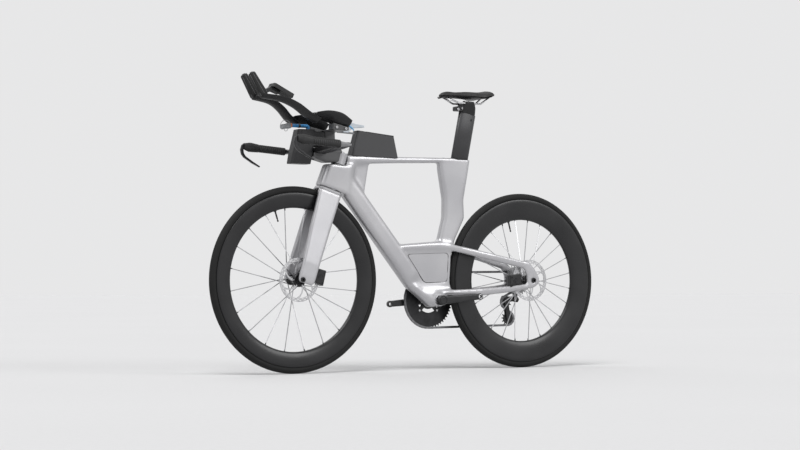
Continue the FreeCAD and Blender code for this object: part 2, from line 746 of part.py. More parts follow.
rail = joined(*rail_pieces).cut([saddle_shell, saddle_pad])
rail = largest(rail)
rails = [rail, mirrored(rail)]
save("saddle_rails", *rails)
cradle = loft([
    oblong(post_top - seat_up * 2, seat_forward, left, post_half_chord - 3, post_half, 11),
    oblong(saddle(2, 20), forward, left, 30, rail_spread, 8),
    oblong(saddle(4, 38), forward, left, 24, rail_spread + 7, 8),
])
yoke = Part.makeBox(36, 2 * rail_spread + 14, 6.5, saddle(-14, 38.5, -rail_spread - 7))
clamp_bolts = [
    joined(rod(saddle(x, 22), saddle(x, 45), 3), rod(saddle(x, 45), saddle(x, 49), 4.5)) for x in (-6, 14)
]
cradle = cradle.cut([seatpost] + rails + clamp_bolts)
yoke = yoke.cut(rails + clamp_bolts)
save("saddle_clamp", cradle, yoke, *clamp_bolts)

# Top tube box with a lid hinged along its right edge
box_base = top_front + Vector(-120, 0, 18)
lid_slope = math.radians(5.1)
lid_way = Vector(math.cos(lid_slope), 0, math.sin(lid_slope))
lid_up = Vector(-math.sin(lid_slope), 0, math.cos(lid_slope))
lid_base = box_base + Vector(-4, 0, 81)
box_top = box_length / 2 - 21
box_outer = loft([
    oblong(box_base - upward * 6, forward, left, box_length / 2, box_half, 8),
    oblong(lid_base, lid_way, left, box_top, box_half - 2, 8),
])
lid_back = -box_top
lid_front = box_top - cap_length
lid_middle = lid_way * ((lid_back + lid_front) / 2)
lid_half = (lid_front - lid_back) / 2
box_inner = loft([
    oblong(box_base + upward * 4, forward, left, box_length / 2 - box_wall - 3, box_half - box_wall, 6),
    oblong(
        lid_base + lid_middle + lid_up * 0.5, lid_way, left, lid_half - box_wall, box_half - 2 - box_wall, 6,
    ),
])
cap_middle = lid_base + lid_way * (box_top - cap_length / 2)
cap_wire = oblong(cap_middle, lid_way, left, cap_length / 2, box_half - 2, 7)
box_cap = Part.Face(cap_wire).extrude(lid_up * (lid_thickness + 0.3))
hinge = lid_base + lid_middle - left * (box_half - 1) + lid_up * (lid_thickness / 2 + 0.3)
knuckle_radius = lid_pin_radius + 1.7
ears = []
ear_rooms = []
for side in (-1, 1):
    ears.append(rod(hinge + lid_way * (side * 21), hinge + lid_way * (side * 33), knuckle_radius))
    ear_rooms.append(rod(hinge + lid_way * (side * 20), hinge + lid_way * (side * 34), knuckle_radius + 0.5))
barrel = rod(hinge - lid_way * 20, hinge + lid_way * 20, knuckle_radius)
barrel_room = rod(hinge - lid_way * 20.6, hinge + lid_way * 20.6, knuckle_radius + 0.5)
lid_pin = rod(hinge - lid_way * 33, hinge + lid_way * 33, lid_pin_radius)
lid_hole = rod(hinge - lid_way * 40, hinge + lid_way * 40, lid_pin_radius + running_gap)
box_shell = joined(box_outer.cut(box_inner), box_cap, *ears).cut([barrel_room, lid_pin, frame])
lid_wire = oblong(lid_base + lid_middle + lid_up * 0.3, lid_way, left, lid_half - 0.5, box_half - 2, 7)
lid_plate = Part.Face(lid_wire).extrude(lid_up * lid_thickness)
lid = joined(lid_plate.cut(ear_rooms), barrel).cut(lid_hole)
save("top_tube_box", largest(box_shell))
save("box_lid", lid)

# Drive: the chain's loop over four toothed wheels, in the side view with x ahead and z up
chain_y = sprocket_start + drive_sprocket * sprocket_step
drive_teeth = sprocket_teeth[drive_sprocket]
guide_center = rear_axle + Vector(42, chain_y, -85)


def pitch_radius(teeth):
    return chain_pitch / (2 * math.sin(math.pi / teeth))


def make_loop(angle):
    """Runs of the chain with the cage hanging at an angle: straights and arcs, with their lengths."""
    swing = math.radians(angle)
    tension_center = guide_center + Vector(math.sin(swing), 0, -math.cos(swing)) * cage_length
    wheels = [
        (bracket, chainring_teeth, -1), (tension_center, tension_teeth, -1), (guide_center, guide_teeth, 1),
        (rear_axle, drive_teeth, -1),
    ]
    contacts = []
    for i in range(4):
        here, teeth, spin = wheels[i]
        there, next_teeth, next_spin = wheels[(i + 1) % 4]
        gap_x = there.x - here.x
        gap_z = there.z - here.z
        offset = pitch_radius(next_teeth) * next_spin - pitch_radius(teeth) * spin
        way = math.atan2(gap_z, gap_x) - math.asin(offset / math.hypot(gap_x, gap_z))
        leave = way + (-math.pi / 2 if spin > 0 else math.pi / 2)
        arrive = way + (-math.pi / 2 if next_spin > 0 else math.pi / 2)
        contacts.append((leave, arrive))
    runs = []
    for i in range(4):
        here, teeth, spin = wheels[i]
        arrive = contacts[i - 1][1]
        leave = contacts[i][0]
        turn = (spin * (leave - arrive)) % (2 * math.pi)
        runs.append(("arc", here, teeth, spin, arrive, turn * teeth * chain_pitch / (2 * math.pi)))
        there, next_teeth = wheels[(i + 1) % 4][:2]
        start = on_circle(here, pitch_radius(teeth), leave)
        end = on_circle(there, pitch_radius(next_teeth), contacts[i][1])
        runs.append(("line", start, end, 0, 0, math.hypot(end.x - start.x, end.z - start.z)))
    return runs, tension_center


def on_circle(center, radius, angle):
    return Vector(center.x + radius * math.cos(angle), chain_y, center.z + radius * math.sin(angle))


def loop_links(angle):
    return sum(run[5] for run in make_loop(angle)[0]) / chain_pitch


# The cage swings until the loop holds an even number of links
low_angle = cage_lean - 20
high_angle = cage_lean + 20
middle_links = loop_links(cage_lean)
link_count = 2 * round(middle_links / 2)
rising = loop_links(high_angle) > loop_links(low_angle)
for step in range(60):
    cage_angle = (low_angle + high_angle) / 2
    if (loop_links(cage_angle) > link_count) == rising:
        high_angle = cage_angle
    else:
        low_angle = cage_angle
chain_runs, tension_center = make_loop(cage_angle)
rollers = []
phases = {}
for i in range(link_count):
    distance = i * chain_pitch
    for kind, first, second, spin, arrive, length in chain_runs:
        if distance < length:
            break
        distance -= length
    if kind == "line":
        rollers.append(first + (second - first) * (distance / length))
    else:
        turn = arrive + spin * distance / (second * chain_pitch) * 2 * math.pi
        rollers.append(on_circle(first, pitch_radius(second), turn))
        phases[second] = turn


def make_teeth(center, teeth, phase, y, thickness, hole):
    """Toothed plate with a valley for a roller at the phase angle, and a many-sided hole."""
    radius = pitch_radius(teeth)
    outline = []
    for i in range(teeth):
        turn = phase + 2 * math.pi * i / teeth
        for side, out in ((-5.5, 2.6), (-2.6, -4.1), (2.6, -4.1), (5.5, 2.6)):
            x = center.x + (radius + out) * math.cos(turn) - side * math.sin(turn)
            z = center.z + (radius + out) * math.sin(turn) + side * math.cos(turn)
            outline.append((x, z))
    blank = prism(outline, y - thickness / 2, y + thickness / 2)
    return blank.cut(hole)


def make_many_sided(center, sides, radius, y_low, y_high):
    corners = []
    for i in range(sides):
        turn = 2 * math.pi * i / sides
        corners.append((center.x + radius * math.cos(turn), center.z + radius * math.sin(turn)))
    return prism(corners, y_low, y_high)


def make_link(start, end, near, far):
    """Pair of chain plates between two rollers, from near to far each side of the chain's middle."""
    along = (end - start).normalize()
    up = along.cross(left)
    half = plate_height / 2
    reach = (end - start).Length
    far_end = reach + half + 0.2
    shape = ((-half - 0.2, 0), (-1, half), (reach + 1, half), (far_end, 0), (reach + 1, -half), (-1, -half))
    outline = [start + along * p + up * q for p, q in shape]
    sides = ((chain_y + near, chain_y + far), (chain_y - far, chain_y - near))
    return [side_plate(outline, low, high) for low, high in sides]


chain_pieces = []
inner_half = chain_inner_width / 2
for i in range(link_count):
    here = rollers[i]
    there = rollers[(i + 1) % link_count]
    along = (there - here).normalize()
    up = along.cross(left)
    roller_outline = []
    for k in range(6):
        turn = math.radians(60 * k + 30)
        way = along * math.cos(turn) + up * math.sin(turn)
        roller_outline.append(here + way * roller_radius)
    chain_pieces.append(side_plate(roller_outline, chain_y - inner_half, chain_y + inner_half))
    if i % 2:
        outer_start = inner_half + inner_plate
        chain_pieces += make_link(here, there, outer_start, outer_start + outer_plate)
    else:
        chain_pieces += make_link(here, there, inner_half, inner_half + inner_plate)
save("chain", *chain_pieces)

# Cassette: sprockets on a splined freehub body
freehub_radius = 15.5
freehub = make_many_sided(rear_axle, 9, freehub_radius, sprocket_start - 4.5, freehub_face - clear_gap)
freehub = freehub.cut(rod(rear_axle - left * 120, rear_axle + left * 10, bore))
freehub_hole = make_many_sided(rear_axle, 9, freehub_radius, -100, 0)
sprockets = []
for i, teeth in enumerate(sprocket_teeth):
    phase = phases[teeth] if i == drive_sprocket else 0.1 * i
    y = sprocket_start + i * sprocket_step
    sprockets.append(make_teeth(rear_axle, teeth, phase, y, sprocket_thickness, freehub_hole))
save("cassette", freehub, *sprockets)

# Crank: two arms on one spindle, the chainring and its bolts
ring_thickness = 1.9
ring_hole = make_many_sided(bracket, 24, 48.0, -100, 0)
chainring = make_teeth(bracket, chainring_teeth, phases[chainring_teeth], chain_y, ring_thickness, ring_hole)
arm_swing = math.radians(crank_lean)
left_way = Vector(-math.cos(arm_swing), 0, -math.sin(arm_swing))
arm_start = shell_half + 2.6


def make_arm(way, side):
    """Crank arm on one side, without its spindle hole: boss, tapered arm and threaded pedal end."""
    out = left * side
    across = way.cross(left)
    pedal = bracket + way * crank_length
    arm = loft([
        oblong(bracket + out * (arm_start + 8.5), across, left, 16, 7.5, 5),
        oblong(bracket + way * (crank_length * 0.5) + out * (pedal_face - 11), across, left, 13, 6.5, 5),
        oblong(pedal + out * (pedal_face - arm_thickness / 2), across, left, 11.5, arm_thickness / 2, 5),
    ])
    boss = rod(bracket + out * arm_start, bracket + out * (arm_start + 16.4), 19)
    end = rod(pedal + out * (pedal_face - arm_thickness), pedal + out * pedal_face, 12.5)
    return joined(boss, arm, end).cut(rod(pedal, pedal + out * 100, pedal_radius))


spindle = rod(bracket - left * (arm_start + 5), bracket + left * (arm_start + 16.4), spindle_radius)
crank_arm_left = make_arm(left_way, 1).cut(rod(bracket, bracket + left * 100, spindle_radius))
ring_face = chain_y - ring_thickness / 2
spider = [rod(bracket + left * ring_face, bracket + left * (ring_face - 5), 34)]
ring_bolts = []
for i in range(4):
    turn = math.radians(45 + 90 * i)
    way = Vector(math.cos(turn), 0, math.sin(turn))
    side = way.cross(left) * 8
    root = bracket + way * 20
    tip = bracket + way * 62
    spider.append(side_plate([root + side, root - side, tip - side, tip + side], ring_face - 5, ring_face))
    spot = bracket + way * 55
    ring_bolts.append(rod(spot + left * (ring_face + ring_thickness), spot + left * (ring_face - 6), 4))
crank_arm_right = joined(make_arm(left_way * -1, -1), spindle, *spider).cut(ring_bolts)
save("crank_arm_left", crank_arm_left)
save("crank_arm_right", crank_arm_right)
save("chainring", chainring.cut(ring_bolts))
save("chainring_bolts", *ring_bolts)

# Rear derailleur: hanger, fixed knuckle, two links, moving knuckle, sprung cage and two pulleys
slant = math.radians(link_slant)
pin_way = Vector(0, math.sin(slant), math.cos(slant))
link_side = Vector(0, math.cos(slant), -math.sin(slant))
fixed_middle = rear_axle + Vector(-20, -76, -73)
moving_middle = fixed_middle + forward * link_length
pivot_offset = 6.0
link_pin_radius = 2.0
link_half = 4.0
ear_height = 7.0


def slab(middle, half_along, half_side, corner, low, high):
    """Plate square to the link pins: extent along the bike and along the link side, between two heights."""
    wire = oblong(middle + pin_way * low, forward, link_side, half_along, half_side, corner)
    return Part.Face(wire).extrude(pin_way * (high - low))


def make_knuckle(middle, reach):
    """Two ears with pins for both links, and the block that joins them on the reach side."""
    pieces = [slab(middle + forward * reach, 4.2, 11.5, 2, -ear_height, ear_height)]
    for low, high in ((link_half + clear_gap, ear_height), (-ear_height, -link_half - clear_gap)):
        pieces.append(slab(middle + forward * (reach * 0.3), 8.5, 11.5, 5, low, high))
    for side in (-1, 1):
        pin = middle + link_side * (side * pivot_offset)
        pieces.append(rod(pin - pin_way * ear_height, pin + pin_way * ear_height, link_pin_radius))
    return pieces


def make_link_bar(side, far_gap):
    start = fixed_middle + link_side * (side * pivot_offset)
    end = start + forward * link_length
    bar = slab((start + end) * 0.5, link_length / 2 + 4.8, 4.5, 4.4, -link_half, link_half)
    holes = []
    for pin, gap in ((start, running_gap), (end, far_gap)):
        holes.append(rod(pin - pin_way * 20, pin + pin_way * 20, link_pin_radius + gap))
    return bar.cut(holes)


arm_shape = ((-37, -80), (-26.5, -80), (-26.5, -58), (0, -44), (6, -27), (-14, -22), (-37, -55))
arm_outline = [rear_axle + Vector(x, 0, z) for x, z in arm_shape]
hanger_shape = ((-22, -6), (-18, -38), (-6, -44), (6, -38), (12, -12))
hanger_outline = [rear_axle + Vector(x, 0, z) for x, z in hanger_shape]
dropout_face = rear_hub_half + dropout_thickness
hanger = side_plate(hanger_outline, -dropout_face, 8 - dropout_face).cut([frame, rear_axle_rod])
hanger = largest(hanger)
bolt_spot = rear_axle + Vector(-5, 0, -33)
derailleur_bolt = joined(
    rod(bolt_spot - left * (dropout_face + 9), bolt_spot - left * (dropout_face - 8), 4),
    rod(bolt_spot - left * (dropout_face + 13), bolt_spot - left * (dropout_face + 9), 7),
)
hanger = hanger.cut(derailleur_bolt)
fixed_arm = side_plate(arm_outline, -dropout_face - 9, -dropout_face - 0.2)
fixed_knuckle = joined(fixed_arm, *make_knuckle(fixed_middle, -10)).cut(derailleur_bolt)
cage_shaft_radius = 4.0
cage_half = 5.0
cage_plate = 1.5
guide = Vector(guide_center.x, 0, guide_center.z)
tension = Vector(tension_center.x, 0, tension_center.z)
cage_face = chain_y - cage_half - cage_plate
boss_high = cage_face - 0.6
boss_low = cage_face - 18
moving_knuckle = joined(
    rod(guide + left * boss_low, guide + left * boss_high, 9), *make_knuckle(moving_middle, 10)
)
shaft_fit = cage_shaft_radius + running_gap
shaft_hole = rod(guide + left * (boss_low - 20), guide + left * (boss_high + 5), shaft_fit)
moving_knuckle = moving_knuckle.cut(shaft_hole)
cage_along = (tension - guide).normalize()
cage_pieces = [rod(guide + left * (boss_low - 1), guide + left * cage_face, cage_shaft_radius)]
for y in (cage_face, chain_y + cage_half):
    middle = (guide + tension) * 0.5 + left * y
    wire = oblong(middle, cage_along, cage_along.cross(left), cage_length / 2 + 9, 9, 8.5)
    cage_pieces.append(Part.Face(wire).extrude(left * cage_plate))
for spot in (guide, tension):
    cage_pieces.append(rod(spot + left * cage_face, spot + left * (chain_y + cage_half), 2.5))
cage = joined(*cage_pieces)
pulley_hole = rod(guide - left * 100, guide, 2.5 + running_gap)
tension_hole = rod(tension - left * 100, tension, 2.5 + running_gap)
save("derailleur_hanger", hanger)
save("frame_fasteners", lid_pin, derailleur_bolt, seat_bolt)
save("derailleur_fixed_knuckle", fixed_knuckle)
save("derailleur_outer_link", make_link_bar(-1, running_gap))
save("derailleur_inner_link", make_link_bar(1, 0.35))
save("derailleur_moving_knuckle", moving_knuckle)
save("derailleur_cage", cage)
guide_pulley = make_teeth(guide, guide_teeth, phases[guide_teeth], chain_y, ring_thickness, pulley_hole)
save("guide_pulley", guide_pulley)
tension_phase = phases[tension_teeth]
tension_pulley = make_teeth(tension, tension_teeth, tension_phase, chain_y, ring_thickness, tension_hole)
save("tension_pulley", tension_pulley)
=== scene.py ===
"""Time trial bike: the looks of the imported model, in the order in which the bike goes together."""
import math

import bmesh
import bpy
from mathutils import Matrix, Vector
from mathutils.bvhtree import BVHTree


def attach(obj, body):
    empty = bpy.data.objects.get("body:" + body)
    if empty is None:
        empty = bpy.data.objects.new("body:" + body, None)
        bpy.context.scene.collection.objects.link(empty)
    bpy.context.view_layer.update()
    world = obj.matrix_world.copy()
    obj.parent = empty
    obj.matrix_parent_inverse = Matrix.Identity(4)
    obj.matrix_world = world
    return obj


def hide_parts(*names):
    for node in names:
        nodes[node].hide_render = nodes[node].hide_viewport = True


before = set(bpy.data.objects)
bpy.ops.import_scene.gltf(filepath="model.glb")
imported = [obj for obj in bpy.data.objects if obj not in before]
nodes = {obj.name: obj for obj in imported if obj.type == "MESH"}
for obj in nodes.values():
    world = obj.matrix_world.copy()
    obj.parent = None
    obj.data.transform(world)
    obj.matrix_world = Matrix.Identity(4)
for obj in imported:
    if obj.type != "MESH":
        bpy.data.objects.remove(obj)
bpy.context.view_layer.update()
scene = bpy.context.scene

# Frame: one hollow carbon moulding whose tubes run into each other in soft fillets.
# It is sprayed silver white, with a fine pearl flake under a clear coat.


def link(name, mesh):
    """Puts a mesh into the scene as a piece."""
    piece = bpy.data.objects.new(name, mesh)
    scene.collection.objects.link(piece)
    return piece


def piece_of(name, shape):
    """Puts a built shape into the scene as a piece."""
    mesh = bpy.data.meshes.new(name)
    shape.to_mesh(mesh)
    shape.free()
    return link(name, mesh)


def shade_smooth(mesh):
    """Shades every face of a mesh smooth."""
    mesh.polygons.foreach_set("use_smooth", [True] * len(mesh.polygons))
    mesh.update()


def applied(piece):
    """Works a piece's modifiers into its mesh."""
    graph = bpy.context.evaluated_depsgraph_get()
    mesh = bpy.data.meshes.new_from_object(piece.evaluated_get(graph))
    piece.modifiers.clear()
    old = piece.data
    piece.data = mesh
    bpy.data.meshes.remove(old)
    return piece


def ease(piece, rounds, group=""):
    """Eases a piece's surface for some rounds and works all its modifiers into its mesh."""
    smooth = piece.modifiers.new("ease", "SMOOTH")
    smooth.factor = 0.5
    smooth.iterations = rounds
    smooth.vertex_group = group
    applied(piece)


def merged_copy(name, node):
    """Copy of a solid's mesh with its loose triangles sewn together."""
    sewn = bmesh.new()
    sewn.from_mesh(nodes[node].data)
    bmesh.ops.remove_doubles(sewn, verts=sewn.verts, dist=1e-6)
    return piece_of(name, sewn)


def melt(piece, voxel, rounds):
    """Melts a piece's creases into fillets: a skin of even cells, eased for some rounds."""
    cells = piece.modifiers.new("cells", "REMESH")
    cells.mode = "VOXEL"
    cells.voxel_size = voxel
    ease(piece, rounds)


def melted(name, node, voxel, rounds, finer=1):
    """Copy of a solid with its creases melted into fillets, in finer cells first where waves would show."""
    piece = merged_copy(name, node)
    if finer > 1:
        melt(piece, voxel / finer, round(rounds * finer ** 2))
        rounds = 2
    melt(piece, voxel, rounds)
    shade_smooth(piece.data)
    return piece


def fit(piece, body, slot, material, *replaced):
    """Gives a piece its finish, its body and the solids that it stands for."""
    piece.data.materials.clear()
    piece.data.materials.append(material)
    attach(piece, body)
    if replaced:
        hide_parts(*replaced)
    return piece


def dress(node, material):
    """Gives a solid that stays in view its finish."""
    mesh = nodes[node].data
    mesh.materials.clear()
    mesh.materials.append(material)


def set_inputs(tree, node, inputs):
    """Puts a value or another node's output on each of these inputs of a node."""
    for socket, value in inputs.items():
        if isinstance(value, bpy.types.NodeSocket):
            tree.links.new(value, node.inputs[socket])
        else:
            node.inputs[socket].default_value = value


def add_node(tree, kind, inputs, **settings):
    """Adds a node to a tree, with its settings and its inputs."""
    node = tree.nodes.new(kind)
    for setting, value in settings.items():
        setattr(node, setting, value)
    set_inputs(tree, node, inputs)
    return node


def new_tree(name, kind, inputs, outputs):
    """Empty tree of nodes with these named inputs and outputs, and its two end nodes."""
    tree = bpy.data.node_groups.new(name, kind + "NodeTree")
    for way, sockets in (("INPUT", inputs), ("OUTPUT", outputs)):
        for socket, holds in sockets.items():
            tree.interface.new_socket(socket, in_out=way, socket_type="NodeSocket" + holds)
    return tree, tree.nodes.new("NodeGroupInput"), tree.nodes.new("NodeGroupOutput")


def build_break_up():
    """Shared effect: broad drift and fine grain over a surface, each from 0 to 1."""
    scales = {"Broad Scale": "Float", "Fine Scale": "Float"}
    group, start, end = new_tree("break_up", "Shader", scales, {"Broad": "Float", "Fine": "Float"})
    place = group.nodes.new("ShaderNodeTexCoord").outputs["Object"]
    for name, detail in (("Broad", 3.0), ("Fine", 2.0)):
        scale = start.outputs[name + " Scale"]
        noise = add_node(group, "ShaderNodeTexNoise", {"Detail": detail, "Vector": place, "Scale": scale})
        group.links.new(noise.outputs["Fac"], end.inputs[name])
    return group


break_up = build_break_up()


def finish(name, dark, pale, rough, broad, fine, height, metallic=0.0, speck=0.08, gleam=0.5):
    """Material that drifts between two colours and two roughnesses, with fine specks and grain."""
    low, high = 0.3, 0.7
    material = bpy.data.materials.new(name)
    material.use_nodes = True
    tree = material.node_tree
    scales = {"Broad Scale": broad, "Fine Scale": fine}
    effect = add_node(tree, "ShaderNodeGroup", scales, name="effect", node_tree=break_up).outputs

    def spread(source, least, most):
        """Stretches the range that the noise mostly keeps to over two values."""
        limits = {"Value": source, "From Min": low, "From Max": high, "To Min": least, "To Max": most}
        return add_node(tree, "ShaderNodeMapRange", limits).outputs["Result"]

    tint = add_node(tree, "ShaderNodeValToRGB", {"Fac": effect["Broad"]})
    for stop, position, shade in zip(tint.color_ramp.elements, (low, high), (dark, pale)):
        stop.position = position
        stop.color = (*shade, 1)
    speckled = {"Vector": tint.outputs["Color"], "Scale": spread(effect["Fine"], 1 - speck, 1 + speck)}
    colour = add_node(tree, "ShaderNodeVectorMath", speckled, operation="SCALE")
    relief = {"Strength": 0.6, "Distance": height, "Height": effect["Fine"]}
    skin = add_node(tree, "ShaderNodeBump", relief, name="skin")
    set_inputs(tree, tree.nodes["Principled BSDF"], {
        "Metallic": metallic, "Specular IOR Level": gleam, "Base Color": colour.outputs["Vector"],
        "Roughness": spread(effect["Broad"], *rough), "Normal": skin.outputs["Normal"],
    })
    return material


def coat(material, weight, rough):
    """Lays a clear coat over a material."""
    tree = material.node_tree
    set_inputs(tree, tree.nodes["Principled BSDF"], {"Coat Weight": weight, "Coat Roughness": rough})


def soften(piece, spots, radius, rounds):
    """Eases a piece's surface further near some places, fading out at the radius."""
    steepness = 1.6
    near = piece.vertex_groups.new(name="near")
    for vertex in piece.data.vertices:
        weight = max(1 - (vertex.co - Vector(spot)).length / radius for spot in spots)
        if weight > 0:
            near.add([vertex.index], min(1, steepness * weight), "REPLACE")
    ease(piece, rounds, near.name)
    piece.vertex_groups.clear()
    shade_smooth(piece.data)


frame_paint = finish(
    "frame_paint", (0.40, 0.398, 0.415), (0.47, 0.467, 0.48), (0.28, 0.36),
    broad=4, fine=2400, height=0.00003, metallic=0.5, speck=0.10,
)
coat(frame_paint, weight=0.5, rough=0.06)
moulding = melted("frame_moulding", "frame", voxel=0.0034, rounds=14, finer=2)
bay_blends = [(x, y, z) for x, z in ((-0.05, 0.32), (-0.03, 0.35), (-0.08, 0.29)) for y in (0.02, -0.02)]
soften(moulding, bay_blends, radius=0.085, rounds=70)
tube_blends = [(-0.16, 0, 0.58), (-0.17, 0, 0.65), (-0.14, 0, 0.50), (0.27, 0, 0.72)]
soften(moulding, tube_blends, radius=0.09, rounds=30)
fit(moulding, "bike_frame", "frame_paint", frame_paint, "frame")

# Storage cover: a thin moulded door over the bay above the bottom bracket, painted with the frame.
# It clips flush into its recess, and the dark rubber of its seal shows as a thin line all round.
seal_rubber = finish(
    "seal_rubber", (0.012, 0.012, 0.012), (0.020, 0.020, 0.020), (0.6, 0.7),
    broad=60, fine=900, height=0.00005, gleam=0.3,
)


def path_tube(name, points, radius, closed=False):
    """Round bead along a path, with its corners eased by the path's own spline."""
    curve = bpy.data.curves.new(name, "CURVE")
    curve.dimensions = "3D"
    curve.bevel_depth = radius
    curve.bevel_resolution = 4
    curve.resolution_u = 8
    curve.use_fill_caps = True
    line = curve.splines.new("NURBS")
    line.points.add(len(points) - 1)
    for spot, place in zip(line.points, points):
        spot.co = (*place, 1)
    line.order_u = 3
    line.use_cyclic_u = closed
    line.use_endpoint_u = not closed
    shape = bpy.data.objects.new(name + "_path", curve)
    scene.collection.objects.link(shape)
    graph = bpy.context.evaluated_depsgraph_get()
    mesh = bpy.data.meshes.new_from_object(shape.evaluated_get(graph))
    bpy.data.objects.remove(shape)
    mesh.name = name
    shade_smooth(mesh)
    return link(name, mesh)


mm = 0.001
bracket = Vector((-0.1, 0, 0.263))
cover_outline = ((137, 172), (-47, 179), (-41, 70), (60, 66))
cover_corners = [bracket + Vector((x, 0, z)) * mm for x, z in cover_outline]


def rounded_loop(corners, radius, steps):
    """Points round a closed outline of straight sides, its corners eased by arcs of about the radius."""
    straight_steps = 8
    points = []
    for i, here in enumerate(corners):
        first = here + (corners[i - 1] - here).normalized() * radius
        last = here + (corners[(i + 1) % len(corners)] - here).normalized() * radius
        for k in range(steps + 1):
            share = k / steps
            points.append(first.lerp(here, share).lerp(here.lerp(last, share), share))
        ahead = corners[(i + 1) % len(corners)]
        far = ahead + (here - ahead).normalized() * radius
        for k in range(1, straight_steps):
            points.append(last.lerp(far, k / straight_steps))
    return points


def skin_of(*pieces):
    """Search tree of some pieces' faces."""
    corners = []
    faces = []
    for piece in pieces:
        base = len(corners)
        corners += [v.co.copy() for v in piece.data.vertices]
        faces += [[base + k for k in face.vertices] for face in piece.data.polygons]
    return BVHTree.FromPolygons(corners, faces)


left_way = Vector((0, 1, 0))
beside_y = 0.2
cover_y = 0.021
left_skin = skin_of(moulding, nodes["storage_cover"])
seal_points = []
for point in rounded_loop(cover_corners, radius=0.014, steps=5):
    hit = left_skin.ray_cast(Vector((point.x, beside_y, point.z)), -left_way)[0]
    seal_points.append(hit or Vector((point.x, cover_y, point.z)))
seal = path_tube("cover_seal", seal_points, radius=0.0010, closed=True)
fit(seal, "bike_frame", "dark_plastic", seal_rubber)
dress("storage_cover", frame_paint)

# Bearings: sealed steel cartridges, two for the steerer and two for the crank's spindle.
# They are pressed into the head tube and the bottom bracket shell, so little of them shows.
bearing_steel = finish(
    "bearing_steel", (0.42, 0.42, 0.43), (0.50, 0.50, 0.51), (0.24, 0.34),
    broad=60, fine=1500, height=0.00002, metallic=1.0,
)
dress("frame_bearings", bearing_steel)

# Fork: a carbon moulding with two deep blades, painted to match the frame.
# Its crown sits flush under the head tube, with only the bearing's gap between them.
fork_moulding = melted("fork_moulding", "fork", voxel=0.0027, rounds=12, finer=2)
fit(fork_moulding, "steering", "frame_paint", frame_paint, "fork")

# Rims: deep carbon rims under a satin clear coat, the rear one deeper than the front.
# A round nose faces the hub, and a hooked edge holds the tyre's bead.
front_axle = Vector((0.5, 0, 0.339))
rear_axle = Vector((-0.5, 0, 0.339))
axles = {"front": front_axle, "rear": rear_axle}
noses = {"front": 260, "rear": 236}


def closed_piece(name, shape):
    """Piece of a closed shape, with its faces turned outwards first."""
    bmesh.ops.recalc_face_normals(shape, faces=shape.faces)
    return piece_of(name, shape)


def turned(name, profile, center, steps):
    """Closed ring turned about an axle through center, from an outline of (radius, y) in millimetres."""
    count = len(profile)
    corners = []
    faces = []
    for i in range(steps):
        turn = 2 * math.pi * i / steps
        for radius, y in profile:
            across = radius * mm * math.cos(turn)
            up = radius * mm * math.sin(turn)
            corners.append((center.x + across, center.y + y * mm, center.z + up))
        base = i * count
        ahead = (i + 1) % steps * count
        for k in range(count):
            after = (k + 1) % count
            faces.append((base + k, base + after, ahead + after, ahead + k))
    shape = bmesh.new()
    spots = [shape.verts.new(c) for c in corners]
    wrap = shape.loops.layers.uv.new("around")
    for n, face in enumerate(faces):
        made = shape.faces.new([spots[k] for k in face])
        i, k = divmod(n, count)
        for loop, (u, v) in zip(made.loops, ((i, k), (i, k + 1), (i + 1, k + 1), (i + 1, k))):
            loop[wrap].uv = (u / steps, v / count)
    piece = closed_piece(name, shape)
    shade_smooth(piece.data)
    return piece


def rim_outline(nose):
    """Hooked edge at the bead, widest just below it, then a full curve down to the nose."""
    side = [(315.2, 9.6), (316.2, 10.6), (316.2, 12.4), (315.4, 13.3), (312.0, 13.9), (306.0, 14.2)]
    steps = 18
    widest, half = side[-1]
    for i in range(1, steps):
        turn = i / steps * math.pi / 2
        side.append((widest - (widest - nose) * math.sin(turn) ** 1.15, half * math.cos(turn) ** 0.55))
    side.append((nose, 0.0))
    return side + [(r, -y) for r, y in reversed(side[:-1])]


def worked(tree, operation, *values):
    """Value worked out by a node from others, each a number or another node's output."""
    return add_node(tree, "ShaderNodeMath", dict(enumerate(values)), operation=operation).outputs["Value"]


def build_turning_marks():
    """Shared effect: fine concentric lines about an axle that runs along Y, from 0 to 1."""
    inputs = {"Axle X": "Float", "Axle Z": "Float", "Scale": "Float"}
    group, start, end = new_tree("turning_marks", "Shader", inputs, {"Lines": "Float"})
    place = group.nodes.new("ShaderNodeTexCoord").outputs["Object"]
    split = add_node(group, "ShaderNodeSeparateXYZ", {"Vector": place}).outputs
    across = worked(group, "SUBTRACT", split["X"], start.outputs["Axle X"])
    up = worked(group, "SUBTRACT", split["Z"], start.outputs["Axle Z"])
    flat = add_node(group, "ShaderNodeCombineXYZ", {"X": across, "Z": up}).outputs["Vector"]
    reach = add_node(group, "ShaderNodeVectorMath", {0: flat}, operation="LENGTH").outputs["Value"]
    noise = group.nodes.new("ShaderNodeTexNoise")
    noise.noise_dimensions = "1D"
    set_inputs(group, noise, {"Detail": 3.0, "W": reach, "Scale": start.outputs["Scale"]})
    group.links.new(noise.outputs["Fac"], end.inputs["Lines"])
    return group


turning_marks = build_turning_marks()


def turn_skin(material, axle, scale, height):
    """Puts the fine lines of a turned piece on a material's skin, in place of its grain."""
    tree = material.node_tree
    about = {"Axle X": axle.x, "Axle Z": axle.z, "Scale": scale}
    marks = add_node(tree, "ShaderNodeGroup", about, node_tree=turning_marks)
    set_inputs(tree, tree.nodes["skin"], {"Height": marks.outputs["Lines"], "Distance": height})
    return material


